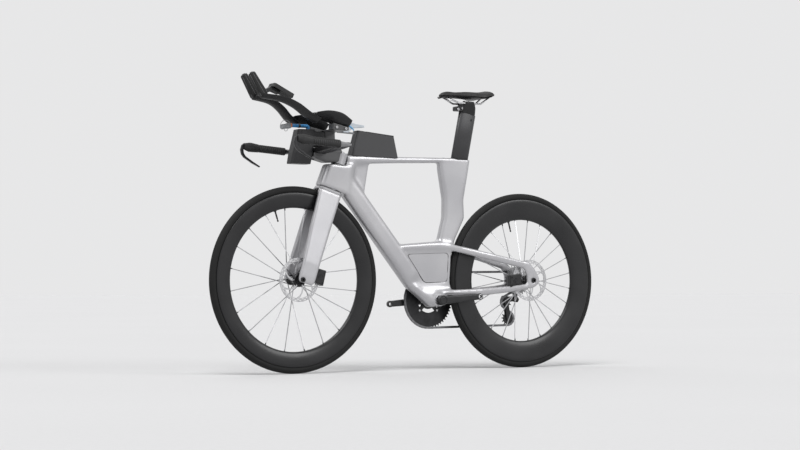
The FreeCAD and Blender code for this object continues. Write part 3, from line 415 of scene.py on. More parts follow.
rim_carbon = finish(
    "rim_carbon", (0.005, 0.005, 0.006), (0.010, 0.010, 0.011), (0.26, 0.36),
    broad=8, fine=1000, height=0.00002, gleam=0.35,
)
coat(rim_carbon, weight=0.2, rough=0.16)
for wheel, axle in axles.items():
    rim = turned(wheel + "_rim_hoop", rim_outline(noses[wheel]), axle, steps=192)
    fit(rim, wheel + "_wheel", "carbon", rim_carbon, wheel + "_rim")

# Nipples and valves: an aluminium nipple holds each spoke in the rim's nose.
# The valve stem of the inner tube stands out of the nose beside its round nut.


def set_copies(tree, start, end, shift, base, facing=None):
    """Ends a tree: copies of its piece, each at a shift from its base, made real and given their finish."""
    spot = add_node(tree, "ShaderNodeVectorMath", {0: shift, 1: start.outputs[base]}).outputs["Vector"]
    points = add_node(tree, "GeometryNodePoints", {"Count": start.outputs["Count"], "Position": spot})
    source = add_node(tree, "GeometryNodeObjectInfo", {"Object": start.outputs["Piece"]})
    placing = {"Points": points.outputs["Points"], "Instance": source.outputs["Geometry"]}
    if facing is not None:
        placing["Rotation"] = facing
    copies = add_node(tree, "GeometryNodeInstanceOnPoints", placing).outputs["Instances"]
    real = add_node(tree, "GeometryNodeRealizeInstances", {"Geometry": copies}).outputs["Geometry"]
    painting = {"Geometry": real, "Material": start.outputs["Finish"]}
    painted = add_node(tree, "GeometryNodeSetMaterial", painting)
    tree.links.new(painted.outputs["Geometry"], end.inputs["Geometry"])


def ring_tree():
    """Copies of a piece set round an axle that runs along Y, each turned to face it."""
    inputs = {
        "Piece": "Object", "Count": "Int", "Radius": "Float", "Start": "Float", "Centre": "Vector",
        "Finish": "Material",
    }
    tree, start, end = new_tree("ring_of_pieces", "Geometry", inputs, {"Geometry": "Geometry"})
    index = tree.nodes.new("GeometryNodeInputIndex").outputs["Index"]
    share = worked(tree, "DIVIDE", index, start.outputs["Count"])
    turn = worked(tree, "ADD", worked(tree, "MULTIPLY", share, 2 * math.pi), start.outputs["Start"])
    across = worked(tree, "MULTIPLY", worked(tree, "COSINE", turn), start.outputs["Radius"])
    up = worked(tree, "MULTIPLY", worked(tree, "SINE", turn), start.outputs["Radius"])
    shift = add_node(tree, "ShaderNodeCombineXYZ", {"X": across, "Z": up}).outputs["Vector"]
    angles = add_node(tree, "ShaderNodeCombineXYZ", {"Y": worked(tree, "MULTIPLY", turn, -1)})
    facing = add_node(tree, "FunctionNodeEulerToRotation", {"Euler": angles.outputs["Vector"]})
    set_copies(tree, start, end, shift, "Centre", facing.outputs["Rotation"])
    return tree


ring_of_pieces = ring_tree()


def grown(name, tree, values):
    """Mesh piece made by a tree of nodes with these named inputs."""
    piece = link(name, bpy.data.meshes.new(name))
    grow = piece.modifiers.new("grow", "NODES")
    grow.node_group = tree
    for item in tree.interface.items_tree:
        if item.in_out == "INPUT" and item.name in values:
            grow[item.identifier] = values[item.name]
    applied(piece)
    return piece


def ring_of(name, pattern, count, radius, start, center, material):
    """Ring of copies of a small piece, which is then removed."""
    piece = grown(name, ring_of_pieces, {
        "Piece": pattern, "Count": count, "Radius": radius, "Start": start, "Centre": center,
        "Finish": material,
    })
    bpy.data.objects.remove(pattern)
    return piece


def walls(shape, loops):
    """Skins a run of closed loops of points."""
    for first, second in zip(loops, loops[1:]):
        for k in range(len(first)):
            after = (k + 1) % len(first)
            shape.faces.new((first[k], first[after], second[after], second[k]))


def capped(shape, loops):
    """Skins a run of closed loops of points and closes both ends."""
    walls(shape, loops)
    shape.faces.new(loops[0])
    shape.faces.new(loops[-1])


def spindle(name, profile, sides, way=Vector((1, 0, 0)), base=Vector((0, 0, 0))):
    """Small turned piece from (distance along, radius) in millimetres, closed at both ends."""
    turn = Vector((1, 0, 0)).rotation_difference(way)
    shape = bmesh.new()
    rings = []
    for along, radius in profile:
        ring = []
        for k in range(sides):
            angle = 2 * math.pi * k / sides
            spot = Vector((along, radius * math.cos(angle), radius * math.sin(angle))) * mm
            ring.append(shape.verts.new(turn @ spot + base))
        rings.append(ring)
    capped(shape, rings)
    return closed_piece(name, shape)


nipple_black = finish(
    "nipple_black", (0.02, 0.02, 0.021), (0.035, 0.035, 0.037), (0.28, 0.36),
    broad=80, fine=1500, height=0.00002, metallic=0.7,
)
valve_black = finish(
    "valve_black", (0.03, 0.03, 0.031), (0.05, 0.05, 0.052), (0.30, 0.40),
    broad=80, fine=1500, height=0.00002, metallic=0.8,
)
valve_profile = (
    (2, 5.5), (0.5, 6), (-2, 6), (-2.2, 3.2), (-30, 3.0), (-30.5, 2.2), (-34, 2.2), (-34.5, 3.1),
    (-40, 2.9), (-40.6, 1.5),
)
nipple_profile = ((1, 2.6), (-1.5, 2.6), (-2, 1.9), (-7, 1.6))
for wheel, count, valve_turn in (("front", 20, 72), ("rear", 24, 75)):
    axle = axles[wheel]
    nose = noses[wheel] * mm
    nipple = spindle("nipple", nipple_profile, sides=8)
    nipples = ring_of(wheel + "_nipples", nipple, count, nose, math.pi / count, axle, nipple_black)
    fit(nipples, wheel + "_wheel", "dark_alloy", nipple_black)
    turn = math.radians(valve_turn)
    way = Vector((math.cos(turn), 0, math.sin(turn)))
    valve = spindle(wheel + "_valve", valve_profile, sides=14, way=way, base=axle + way * nose)
    fit(valve, wheel + "_wheel", "dark_alloy", valve_black)

# Tyres: supple cotton casings, black, with a smooth tread cap that carries a fine diagonal file pattern.
# Two moulded ribs run round each wall, and the bead sits in the rim's hooked edge.


def tyre_outline():
    """Round casing from bead to bead, with the step of the tread cap and two ribs on each wall."""
    steps = 72
    bead_angle = 138
    middle, casing = 325.0, 14.0
    cap_angle, cap_step = 52, 0.4
    rib_angles, rib_half, rib_height = (74, 112), 2.4, 0.35
    outline = []
    for i in range(steps + 1):
        angle = -bead_angle + 2 * bead_angle * i / steps
        lift = casing
        if abs(angle) > cap_angle:
            lift -= cap_step
        for rib in rib_angles:
            if abs(abs(angle) - rib) < rib_half:
                lift += rib_height
        turn = math.radians(angle)
        outline.append((middle + lift * math.cos(turn), lift * math.sin(turn)))
    return outline


tyre_rubber = finish(
    "tyre_rubber", (0.005, 0.005, 0.005), (0.010, 0.010, 0.010), (0.58, 0.72),
    broad=20, fine=1100, height=0.0001, gleam=0.25,
)


def add_tread(material):
    """Fine file marks on the tread cap: two slanted waves over the ring's own map, shut off on the walls."""
    marks_around, lean = 420, 90
    cap_end, wall_start = 0.08, 0.13
    tree = material.node_tree
    wrap = add_node(tree, "ShaderNodeUVMap", {}, uv_map="around").outputs["UV"]
    split = add_node(tree, "ShaderNodeSeparateXYZ", {"Vector": wrap}).outputs
    away = worked(tree, "ABSOLUTE", worked(tree, "SUBTRACT", split["Y"], 0.5))
    cap = add_node(tree, "ShaderNodeMapRange", {
        "Value": away, "From Min": cap_end, "From Max": wall_start, "To Min": 1.0, "To Max": 0.0,
    })
    waves = []
    for slant in (lean, -lean):
        lines = {"Vector": wrap, "Scale": (marks_around, slant, 1)}
        stretch = add_node(tree, "ShaderNodeMapping", lines).outputs["Vector"]
        slanted = {"Vector": stretch, "Scale": 0.5}
        wave = add_node(tree, "ShaderNodeTexWave", slanted, bands_direction="DIAGONAL")
        waves.append(wave.outputs["Fac"])
    marks = worked(tree, "MULTIPLY", *waves)
    grain = tree.nodes["effect"].outputs["Fine"]
    shown = worked(tree, "MULTIPLY_ADD", marks, cap.outputs["Result"], grain)
    tree.links.new(shown, tree.nodes["skin"].inputs["Height"])


add_tread(tyre_rubber)
for wheel, axle in axles.items():
    tyre = turned(wheel + "_tyre_casing", tyre_outline(), axle, steps=288)
    fit(tyre, wheel + "_wheel", "tyre", tyre_rubber, wheel + "_tyre")

# Spokes: bladed stainless steel, laced from both hub flanges into the rim's nose.
# They are left bright, with a fine drawn skin.
spoke_steel = finish(
    "spoke_steel", (0.34, 0.34, 0.35), (0.46, 0.46, 0.47), (0.26, 0.36),
    broad=40, fine=1800, height=0.00002, metallic=1.0,
)
dress("front_spokes", spoke_steel)
dress("rear_spokes", spoke_steel)

# Hubs: aluminium shells turned on a lathe and anodised black.
# Fine turning marks run round them about the axle.
hub_black = {}
for wheel, axle in axles.items():
    black = finish(
        wheel + "_hub_black", (0.016, 0.016, 0.017), (0.028, 0.028, 0.030), (0.28, 0.38),
        broad=45, fine=1600, height=0.00003, metallic=0.6,
    )
    hub_black[wheel] = turn_skin(black, axle, scale=2600, height=0.00003)
    dress(wheel + "_hub", hub_black[wheel])

# Rotors: a slotted steel braking band on six raked arms, riveted to a black carrier.
# A notched ring nut holds the carrier on the hub.


def flat_plate(shape, faces, thickness):
    """Gives flat faces in a mesh a thickness, half to each side."""
    bmesh.ops.recalc_face_normals(shape, faces=faces)
    made = bmesh.ops.extrude_face_region(shape, geom=faces, use_keep_orig=True)
    fresh = [v for v in made["geom"] if isinstance(v, bmesh.types.BMVert)]
    bmesh.ops.translate(shape, verts=fresh, vec=(0, thickness, 0))


def rotor_band(name, axle, y):
    """Braking band with two rows of slots and a waved rim, and the arms that carry it."""
    levels = (66.5, 68.5, 71.3, 73.2, 76.0, 77.6, 79.6)
    steps = 216
    waves, wave_height = 24, 0.4
    slot_pitch, slot_run = 9, 4
    slot_starts = {1: 0, 3: 4}
    arms, arm_steps = 6, 8
    arm_foot, arm_run, rake = 23, 44.5, 0.62
    band_thick, arm_thick = 0.0018, 0.0014
    shape = bmesh.new()

    def spot(radius, turn, lift):
        """Corner at a radius in millimetres and a turn about the axle."""
        across = radius * mm * math.cos(turn)
        up = radius * mm * math.sin(turn)
        return shape.verts.new((axle.x + across, y + lift, axle.z + up))

    rows = []
    for n, radius in enumerate(levels):
        row = []
        for i in range(steps):
            turn = 2 * math.pi * i / steps
            wave = wave_height * math.sin(waves * turn) if n == len(levels) - 1 else 0
            row.append(spot(radius + wave, turn, -band_thick / 2))
        rows.append(row)
    faces = []
    for n in range(len(levels) - 1):
        for i in range(steps):
            slot = n in slot_starts and (i + slot_starts[n]) % slot_pitch < slot_run
            if not slot:
                ahead = (i + 1) % steps
                inner, outer = rows[n], rows[n + 1]
                faces.append(shape.faces.new((inner[i], inner[ahead], outer[ahead], outer[i])))
    flat_plate(shape, faces, band_thick)
    for arm in range(arms):
        ribs = []
        for k in range(arm_steps + 1):
            share = k / arm_steps
            radius = arm_foot + arm_run * share
            turn = 2 * math.pi * arm / arms + rake * share ** 1.3
            half = (3.0 + 3.4 * abs(2 * share - 1) ** 3) / radius
            ribs.append([spot(radius, turn + edge, -arm_thick / 2) for edge in (-half, half)])
        strip = [shape.faces.new((a[0], b[0], b[1], a[1])) for a, b in zip(ribs, ribs[1:])]
        flat_plate(shape, strip, arm_thick)
    return closed_piece(name, shape)


carrier_outline = (
    (14, 1.5), (14, 4.5), (19.5, 4.5), (20, 4), (20, 1.9), (25.5, 1.9), (26.2, 1.2), (26.2, -1.2),
    (25.5, -1.9), (14, -1.9),
)
rivet_profile = ((-2.6, 1.6), (-2.6, 2.6), (2.6, 2.6), (2.6, 1.6))
notch_profile = ((3.4, 1.1), (4.9, 1.1))
rivet_radius, notch_radius = 0.0232, 0.0188
for wheel, y in (("front", 0.0345), ("rear", 0.0555)):
    axle = axles[wheel]
    steel = finish(
        wheel + "_rotor_steel", (0.42, 0.42, 0.43), (0.54, 0.54, 0.55), (0.26, 0.36),
        broad=60, fine=2200, height=0.00002, metallic=1.0,
    )
    turn_skin(steel, axle, scale=1800, height=0.00004)
    fit(rotor_band(wheel + "_rotor_band", axle, y), wheel + "_wheel", "steel", steel, wheel + "_rotor")
    middle = axle + Vector((0, y, 0))
    carrier = turned(wheel + "_rotor_carrier", carrier_outline, middle, steps=72)
    fit(carrier, wheel + "_wheel", "dark_alloy", hub_black[wheel])
    rivet = spindle("rivet", rivet_profile, sides=10, way=left_way)
    rivets = ring_of(wheel + "_rotor_rivets", rivet, 6, rivet_radius, 0.0, middle, steel)
    fit(rivets, wheel + "_wheel", "steel", steel)
    notch = spindle("notch", notch_profile, sides=6, way=left_way)
    notches = ring_of(wheel + "_ring_nut_teeth", notch, 24, notch_radius, 0.0, middle, hub_black[wheel])
    fit(notches, wheel + "_wheel", "dark_alloy", hub_black[wheel])

# Axles: hollow steel thru-axles with a flanged head, blackened like the hubs that they hold.
# They run through the hubs and clamp them in the fork and in the stays.
dress("front_axle", hub_black["front"])
dress("rear_axle", hub_black["rear"])

# Calipers: forged aluminium bodies, black, bolted flat to the fork and the chain stay.
# A turned cap closes each piston's bore, beside the heads of the pad pin and the body's bolts.


def socket_head(shape, place, way, radius, tall, key):
    """Round bolt head with a hexagon socket, added to a mesh; sizes in millimetres."""
    turn = Vector((1, 0, 0)).rotation_difference(way)
    sides = 12
    flat = math.cos(math.pi / 6)
    profile = (
        (0, radius, 1), (tall - 0.5, radius, 1), (tall, radius - 0.5, 1),
        (tall, key + 0.3, flat), (tall - 0.3, key, flat), (tall * 0.35, key, flat),
    )
    rings = []
    for along, out, pull in profile:
        ring = []
        for k in range(sides):
            reach = out * (pull if k % 2 else 1)
            angle = 2 * math.pi * k / sides
            spot = Vector((along, reach * math.cos(angle), reach * math.sin(angle))) * mm
            ring.append(shape.verts.new(turn @ spot + place))
        rings.append(ring)
    capped(shape, rings)


def socket_bolts(name, heads):
    """One mesh of bolt heads given as (place, way, radius, height, key)."""
    shape = bmesh.new()
    for head in heads:
        socket_head(shape, *head)
    return closed_piece(name, shape)


caliper_black = finish(
    "caliper_black", (0.007, 0.007, 0.008), (0.013, 0.013, 0.014), (0.32, 0.44),
    broad=50, fine=1300, height=0.00004, gleam=0.4,
)
steer_up = Vector((-0.30071, 0, 0.95372))
steer_ahead = Vector((0.95372, 0, 0.30071))
fork_rake = 0.043
cap_profile = (
    (-1.2, 10.4), (0.5, 10.4), (1.0, 9.9), (1.0, 8.6), (0.6, 8.2), (0.6, 4.2), (1.1, 3.8), (1.1, 1.4),
)
caliper_bodies = {"front": "steering", "rear": "bike_frame"}
for wheel, body in caliper_bodies.items():
    caliper = melted(wheel + "_caliper_body", wheel + "_caliper", voxel=0.0010, rounds=22)
    fit(caliper, body, "dark_alloy", caliper_black, wheel + "_caliper")
caliper_faces = (
    ("front", front_axle - steer_ahead * fork_rake, steer_ahead, steer_up, 0.0545,
     ((-28, 34), (-39, 52), (-42, 15), (-17, 53))),
    ("rear", rear_axle, Vector((1, 0, 0)), Vector((0, 0, 1)), 0.0705,
     ((76, -2), (92, 12), (92, -18), (60, -19))),
)
for wheel, root, along, up, face_y, spots in caliper_faces:
    face = root + left_way * face_y
    cap_place, *bolt_places = [face + (along * x + up * z) * mm for x, z in spots]
    cap = spindle(wheel + "_piston_cap", cap_profile, sides=40, way=left_way, base=cap_place)
    fit(cap, caliper_bodies[wheel], "dark_alloy", nipple_black)
    heads = [(place - left_way * mm, left_way, 3.4, 2.6, 1.6) for place in bolt_places]
    fit(socket_bolts(wheel + "_caliper_bolts", heads), caliper_bodies[wheel], "dark_alloy", nipple_black)

# Stem and its cover: a carbon stem shell over a painted collar that turns in the head tube's recess. The
# shell's grey, lighter than the cockpit's black carbon, is partly the carbon's own tone and partly a painted
# reflection.
# A thin rubber ring closes the joint between the collar and the frame.
stem_grey_painted_reflection = finish(
    "stem_grey_painted_reflection", (0.062, 0.062, 0.064), (0.082, 0.082, 0.084), (0.36, 0.46),
    broad=14, fine=1000, height=0.00003,
)
cockpit_carbon = finish(
    "cockpit_carbon", (0.006, 0.006, 0.007), (0.012, 0.012, 0.013), (0.36, 0.48),
    broad=16, fine=1000, height=0.00003, gleam=0.4,
)
fit(melted("stem_shell", "stem", voxel=0.0012, rounds=5), "steering", "carbon", stem_grey_painted_reflection, "stem")
dress("stem_cover", frame_paint)
stem_base = Vector((0.322169, 0, 0.760011))
collar_foot = stem_base + steer_up * 0.0012
collar_radius = 0.0262
collar_steps = 32
collar_ring = []
for i in range(collar_steps):
    turn = 2 * math.pi * i / collar_steps
    way = steer_ahead * math.cos(turn) + left_way * math.sin(turn)
    collar_ring.append(collar_foot + way * collar_radius)
collar_seal = path_tube("collar_seal", collar_ring, radius=0.0011, closed=True)
fit(collar_seal, "steering", "dark_plastic", seal_rubber)

# Base bar: a flat carbon wing whose ends run back to a tapered sleeve and forward to the brake levers.
# Rubber tape is wound round each end, lap over lap.


def cockpit(ahead, above, y=0.0):
    """Place in the cockpit, in millimetres from the stem's foot."""
    return stem_base + Vector((ahead, y, above)) * mm


fit(melted("bar_wing", "base_bar", voxel=0.0016, rounds=8), "steering", "carbon", cockpit_carbon, "base_bar")
sleeve_grey = finish(
    "sleeve_grey", (0.20, 0.20, 0.205), (0.26, 0.26, 0.265), (0.40, 0.5),
    broad=40, fine=900, height=0.00004,
)
sleeve_profile = ((-1, 9.8), (0, 10.9), (2, 10.9), (3, 10.2), (30, 7.2), (45, 4.6), (48.4, 3.9), (49.4, 2.6))
grip_rubber = finish(
    "grip_rubber", (0.009, 0.009, 0.009), (0.016, 0.016, 0.016), (0.60, 0.76),
    broad=30, fine=800, height=0.0002, gleam=0.35,
)
lap_rubber = finish(
    "lap_rubber", (0.030, 0.030, 0.031), (0.046, 0.046, 0.048), (0.52, 0.66),
    broad=30, fine=800, height=0.0002, gleam=0.4,
)
dress("bar_grips", grip_rubber)


def row_tree():
    """Copies of a piece set in a straight row."""
    inputs = {"Piece": "Object", "Count": "Int", "Start": "Vector", "Step": "Vector", "Finish": "Material"}
    tree, start, end = new_tree("row_of_pieces", "Geometry", inputs, {"Geometry": "Geometry"})
    index = tree.nodes.new("GeometryNodeInputIndex").outputs["Index"]
    steps = {"Vector": start.outputs["Step"], "Scale": index}
    shift = add_node(tree, "ShaderNodeVectorMath", steps, operation="SCALE").outputs["Vector"]
    set_copies(tree, start, end, shift, "Start")
    return tree


row_of_pieces = row_tree()


def row_of(name, pattern, count, first, last, material):
    """Row of copies of a small piece, which is then removed."""
    step = (last - first) / (count - 1)
    piece = grown(name, row_of_pieces, {
        "Piece": pattern, "Count": count, "Start": first, "Step": step, "Finish": material,
    })
    bpy.data.objects.remove(pattern)
    shade_smooth(piece.data)
    return piece


def lap(name, radius, bead, lean):
    """One lap of tape: a closed bead round the bar, leaning along it."""
    sides = 28
    around = 6
    shape = bmesh.new()
    rings = []
    for k in range(sides):
        turn = 2 * math.pi * k / sides
        ring = []
        for j in range(around):
            angle = 2 * math.pi * j / around
            out = radius + bead * math.cos(angle)
            along = lean * math.sin(turn) + 3 * bead * math.sin(angle)
            spot = Vector((along, out * math.cos(turn), out * math.sin(turn)))
            ring.append(shape.verts.new(spot * mm))
        rings.append(ring)
    walls(shape, rings + rings[:1])
    return closed_piece(name, shape)


for side, y in (("left", 212), ("right", -212)):
    root = cockpit(112, 60, y)
    way = (cockpit(64, 58, y) - root).normalized()
    sleeve = spindle("bar_sleeve_" + side, sleeve_profile, sides=24, way=way, base=root)
    shade_smooth(sleeve.data)
    fit(sleeve, "steering", "valve_grey", sleeve_grey)
    first, last = cockpit(118, 60.4, y), cockpit(216, 67.1, y)
    laps = row_of("grip_laps_" + side, lap("lap", radius=13.9, bead=0.9, lean=4), 13, first, last, lap_rubber)
    fit(laps, "steering", "grip_rubber", lap_rubber)

# Brake levers: moulded hoods over the bar ends and forged blades that hang below them.
# Each blade turns on a steel pin through its hood.
hood_plastic = finish(
    "hood_plastic", (0.010, 0.010, 0.010), (0.018, 0.018, 0.019), (0.45, 0.58),
    broad=40, fine=900, height=0.00008, gleam=0.4,
)
hoods = melted("lever_hoods", "lever_bodies", voxel=0.0011, rounds=6)
fit(hoods, "steering", "dark_plastic", hood_plastic, "lever_bodies")
lever_black = finish(
    "lever_black", (0.012, 0.012, 0.013), (0.020, 0.020, 0.022), (0.28, 0.38),
    broad=50, fine=1200, height=0.00002, metallic=0.3,
)
for side in ("left", "right"):
    lever = melted("lever_blade_" + side, "brake_lever_" + side, voxel=0.0009, rounds=8)
    fit(lever, "lever_" + side, "dark_alloy", lever_black, "brake_lever_" + side)

# Arm rests: a riser bridge on the stem carries two scooped carbon cups, each lined with a foam pad.
# Bright socket bolts hold the cups from their outer sides.


def stuffed(name, node, voxel, draw, cap):
    """Padded piece: the solid drawn in a little, then blown out as cloth until it fills its cover again."""
    piece = merged_copy(name, node)
    melt(piece, voxel, 0)
    last_frame = 20
    rest = [v.co - v.normal * draw for v in piece.data.vertices]
    for vertex, place in zip(piece.data.vertices, rest):
        vertex.co = place
    cloth = piece.modifiers.new("cloth", "CLOTH")
    cloth.settings.quality = 6
    cloth.settings.mass = 0.2
    cloth.settings.use_pressure = True
    cloth.settings.uniform_pressure_force = 4
    cloth.settings.effector_weights.gravity = 0
    for number in range(1, last_frame + 1):
        scene.frame_set(number)
    graph = bpy.context.evaluated_depsgraph_get()
    blown = [v.co.copy() for v in piece.evaluated_get(graph).data.vertices]
    piece.modifiers.clear()
    for vertex, place, moved in zip(piece.data.vertices, rest, blown):
        shift = moved - place
        if shift.length > cap:
            shift *= cap / shift.length
        vertex.co = place + shift
    scene.frame_set(1)
    ease(piece, rounds=3)
    return piece


def rounded_out(piece):
    """One level of subdivision, worked into the mesh."""
    finer = piece.modifiers.new("finer", "SUBSURF")
    finer.levels = 1
    finer.render_levels = 1
    applied(piece)
    shade_smooth(piece.data)
    return piece


# The riser bridge takes the stem's grey, which is lighter than the black carbon elsewhere: partly the
# carbon's own tone, partly a painted reflection.
fit(melted("riser_bridge", "riser", voxel=0.0013, rounds=4), "steering", "carbon", stem_grey_painted_reflection, "riser")


def smooth_run(rows, steps):
    """Smooth run of values through some rows, with steps between each two of them."""
    run = []
    for i in range(len(rows) - 1):
        before = rows[max(i - 1, 0)]
        after = rows[min(i + 2, len(rows) - 1)]
        for k in range(steps):
            t = k / steps
            row = []
            for p, q, r, s in zip(before, rows[i], rows[i + 1], after):
                bend = (2 * p - 5 * q + 4 * r - s) * t * t
                twist = (3 * q - p - 3 * r + s) * t ** 3
                row.append(0.5 * (2 * q + (r - p) * t + bend + twist))
            run.append(row)
    run.append(list(rows[-1]))
    return run


def scoops(name, rows, wall):
    """Pair of scooped shells through rows of (ahead, above, y, climb in degrees, half width, depth)."""
    shape = bmesh.new()
    arc = 18
    for side in (1, -1):
        sections = []
        for ahead, above, y, climb, half, depth in smooth_run(rows, steps=12):
            lean = math.radians(climb)
            rise = Vector((-math.sin(lean), 0, math.cos(lean)))
            loop = []
            for inner, (wide, deep, base) in enumerate(((half, depth, 0), (half - wall, depth - wall, wall))):
                bend = 2 * math.atan2(deep, wide)
                radius = (wide * wide + deep * deep) / (2 * deep)
                row = []
                for k in range(arc + 1):
                    turn = bend * (2 * k / arc - 1)
                    lift = radius * (1 - math.cos(turn)) + base
                    out = Vector((0, radius * math.sin(turn) * side, 0)) + rise * lift
                    row.append(shape.verts.new(cockpit(ahead, above, y * side) + out * mm))
                loop += reversed(row) if inner else row
            sections.append(loop)
        walls(shape, sections)
        count = len(sections[0])
        for loop in (sections[0], sections[-1]):
            for k in range(arc):
                shape.faces.new((loop[k], loop[k + 1], loop[count - 2 - k], loop[count - 1 - k]))
    piece = closed_piece(name, shape)
    round_lip = piece.modifiers.new("round_lip", "BEVEL")
    round_lip.width = 0.0014
    round_lip.segments = 2
    round_lip.limit_method = "ANGLE"
    round_lip.angle_limit = math.radians(40)
    applied(piece)
    shade_smooth(piece.data)
    return piece


cup_back, cup_above, cup_y = 13, 130, 88
cup_climb, cup_length = 12, 146
cup_rows = []
for share, half, depth in ((0, 36, 26), (0.34, 44, 40), (0.7, 44, 36), (1, 36, 20)):
    reach = share * cup_length
    ahead = cup_back + reach * math.cos(math.radians(cup_climb))
    above = cup_above + reach * math.sin(math.radians(cup_climb))
    cup_rows.append((ahead, above, cup_y, cup_climb, half, depth))
fit(scoops("arm_scoops", cup_rows, wall=4), "steering", "carbon", cockpit_carbon, "arm_cups")
pad_foam = finish(
    "pad_foam", (0.012, 0.012, 0.012), (0.024, 0.024, 0.024), (0.80, 0.92),
    broad=60, fine=600, height=0.0004, gleam=0.3,
)
arm_pads = rounded_out(stuffed("arm_rest_pads", "arm_pads", voxel=0.004, draw=0.0012, cap=0.004))
fit(arm_pads, "steering", "foam", pad_foam, "arm_pads")
bolt_steel = finish(
    "bolt_steel", (0.40, 0.40, 0.41), (0.55, 0.55, 0.56), (0.26, 0.36),
    broad=80, fine=1600, height=0.00002, metallic=1.0,
)
heads = []
for ahead, above in ((26, 126.5), (64, 130)):
    for side in (1, -1):
        heads.append((cockpit(ahead, above, side * 106), Vector((0, side, 0)), 4.9, 4.0, 2.2))
fit(socket_bolts("cup_bolts", heads), "steering", "steel", bolt_steel, "cockpit_bolts")

# Extensions: long scooped carbon troughs that carry the forearms and end in upright hand grips.
# The grips are overmoulded rubber with a shift button in each top.
trough_inward = 53
trough_rows = []
for ahead, above, share, half, depth, climb in (
    (140, 141, 0.03, 31, 20, 30), (178, 163, 0.22, 31, 20, 36), (218, 195, 0.5, 29, 20, 33),
    (263, 216, 0.8, 26, 19, 16), (330, 226, 1, 22, 16, 3),
):
    trough_rows.append((ahead, above, cup_y - trough_inward * share, climb, half, depth))
fit(scoops("forearm_troughs", trough_rows, wall=4), "steering", "carbon", cockpit_carbon, "extensions")
hand_posts = melted("hand_posts", "hand_grips", voxel=0.0012, rounds=5)
fit(hand_posts, "steering", "grip_rubber", grip_rubber, "hand_grips")
hand_low = cockpit(316, 228, 35)
hand_top = cockpit(370, 315, 31)
hand_way = (hand_top - hand_low).normalized()
hand_across = left_way.cross(hand_way).normalized()
hand_side = hand_way.cross(hand_across)
# The ridges on the hand grips are a lighter grey than the grip rubber: painted highlights along the grips'
# edges.
ridge_painted_highlight = finish(
    "ridge_painted_highlight", (0.085, 0.085, 0.088), (0.12, 0.12, 0.124), (0.45, 0.55),
    broad=60, fine=900, height=0.00006,
)
ridge_steps, ridge_start, ridge_run = 8, 0.14, 0.82
for number, spread in enumerate((-0.9, 0, 0.9)):
    for side, name in ((1, "left"), (-1, "right")):
        for face, outer in (("in", -1), ("out", 1)):
            ridge = []
            for k in range(ridge_steps + 1):
                share = ridge_start + ridge_run * k / ridge_steps
                wide = 16 - 4 * share
                thick = 13 - 2.6 * share
                bulge = math.sqrt(1 - 0.75 * spread * spread)
                out = hand_across * (wide * spread) + hand_side * (outer * thick * bulge)
                spot = hand_low.lerp(hand_top, share) + out * mm
                ridge.append(Vector((spot.x, spot.y * side, spot.z)))
            ridge_name = "_".join(("grip_ridge", name, face, str(number)))
            bead = path_tube(ridge_name, ridge, radius=0.0011)
            fit(bead, "steering", "grip_rubber", ridge_painted_highlight)
button_grey = finish(
    "button_grey", (0.05, 0.05, 0.052), (0.07, 0.07, 0.073), (0.4, 0.5),
    broad=60, fine=900, height=0.00006,
)
for side in ("left", "right"):
    dress("shift_button_" + side, button_grey)

# Bike computer: a small plastic slab with a plain glass screen.
# It stands on a carbon tongue between the extensions.
dress("bike_computer", hood_plastic)
screen_glass = finish(
    "screen_glass", (0.010, 0.012, 0.012), (0.020, 0.023, 0.022), (0.06, 0.12),
    broad=30, fine=400, height=0.00001,
)
screen_tilt = math.radians(25.7)
screen_way = Vector((math.cos(screen_tilt), 0, math.sin(screen_tilt)))
screen_up = Vector((-screen_way.z, 0, screen_way.x))


def rounded_slab(name, middle, along, across, half_long, half_wide, corner, thick):
    """Thin slab with rounded corners and a softened edge, standing on middle; sizes in millimetres."""
    up = along.cross(across)
    ends = ((1, 1), (-1, 1), (-1, -1), (1, -1))
    corners = [middle + (along * x * half_long + across * y * half_wide) * mm for x, y in ends]
    outline = rounded_loop(corners, corner * mm, steps=6)
    shape = bmesh.new()
    loops = []
    for lift, draw in ((0, 1), (thick - 0.3, 1), (thick, 0.985)):
        loops.append([shape.verts.new(middle + (p - middle) * draw + up * (lift * mm)) for p in outline])
    capped(shape, loops)
    return closed_piece(name, shape)


screen_spot = cockpit(238, 254.7) + screen_up * 0.0137
screen = rounded_slab(
    "computer_screen", screen_spot, screen_way, left_way, half_long=37, half_wide=22.5, corner=3, thick=0.9,
)
fit(screen, "steering", "dark_plastic", screen_glass)
dress("computer_mount", cockpit_carbon)

# Drink tank: a blow-moulded tank in front of the stem, with a filler behind it.
# The filler is a pale soft spout on a grey hose, with a blue strap beside it.


def loose_parts(name, node):
    """The separate shells in a solid's mesh, as objects, from the largest to the smallest."""
    whole = merged_copy(name, node)
    shape = bmesh.new()
    shape.from_mesh(whole.data)
    bpy.data.objects.remove(whole)
    left = set(shape.verts)
    shells = []
    while left:
        stack = [left.pop()]
        shell = []
        while stack:
            vertex = stack.pop()
            shell.append(vertex)
            for edge in vertex.link_edges:
                other = edge.other_vert(vertex)
                if other in left:
                    left.remove(other)
                    stack.append(other)
        shells.append(shell)

    def spread(shell):
        """How far a shell reaches from its first corner."""
        return max((v.co - shell[0].co).length for v in shell)

    parts = []
    for n, shell in enumerate(sorted(shells, key=spread, reverse=True)):
        place = {v: i for i, v in enumerate(shell)}
        faces = {face for v in shell for face in v.link_faces}
        mesh = bpy.data.meshes.new(name)
        mesh.from_pydata([v.co for v in shell], [], [[place[v] for v in face.verts] for face in faces])
        parts.append(link(name + "_" + str(n), mesh))
    shape.free()
    return parts


def melt_part(piece, name, voxel, rounds):
    """Melts a loose part's creases and gives it its own name."""
    melt(piece, voxel, rounds)
    shade_smooth(piece.data)
    piece.name = name
    return piece


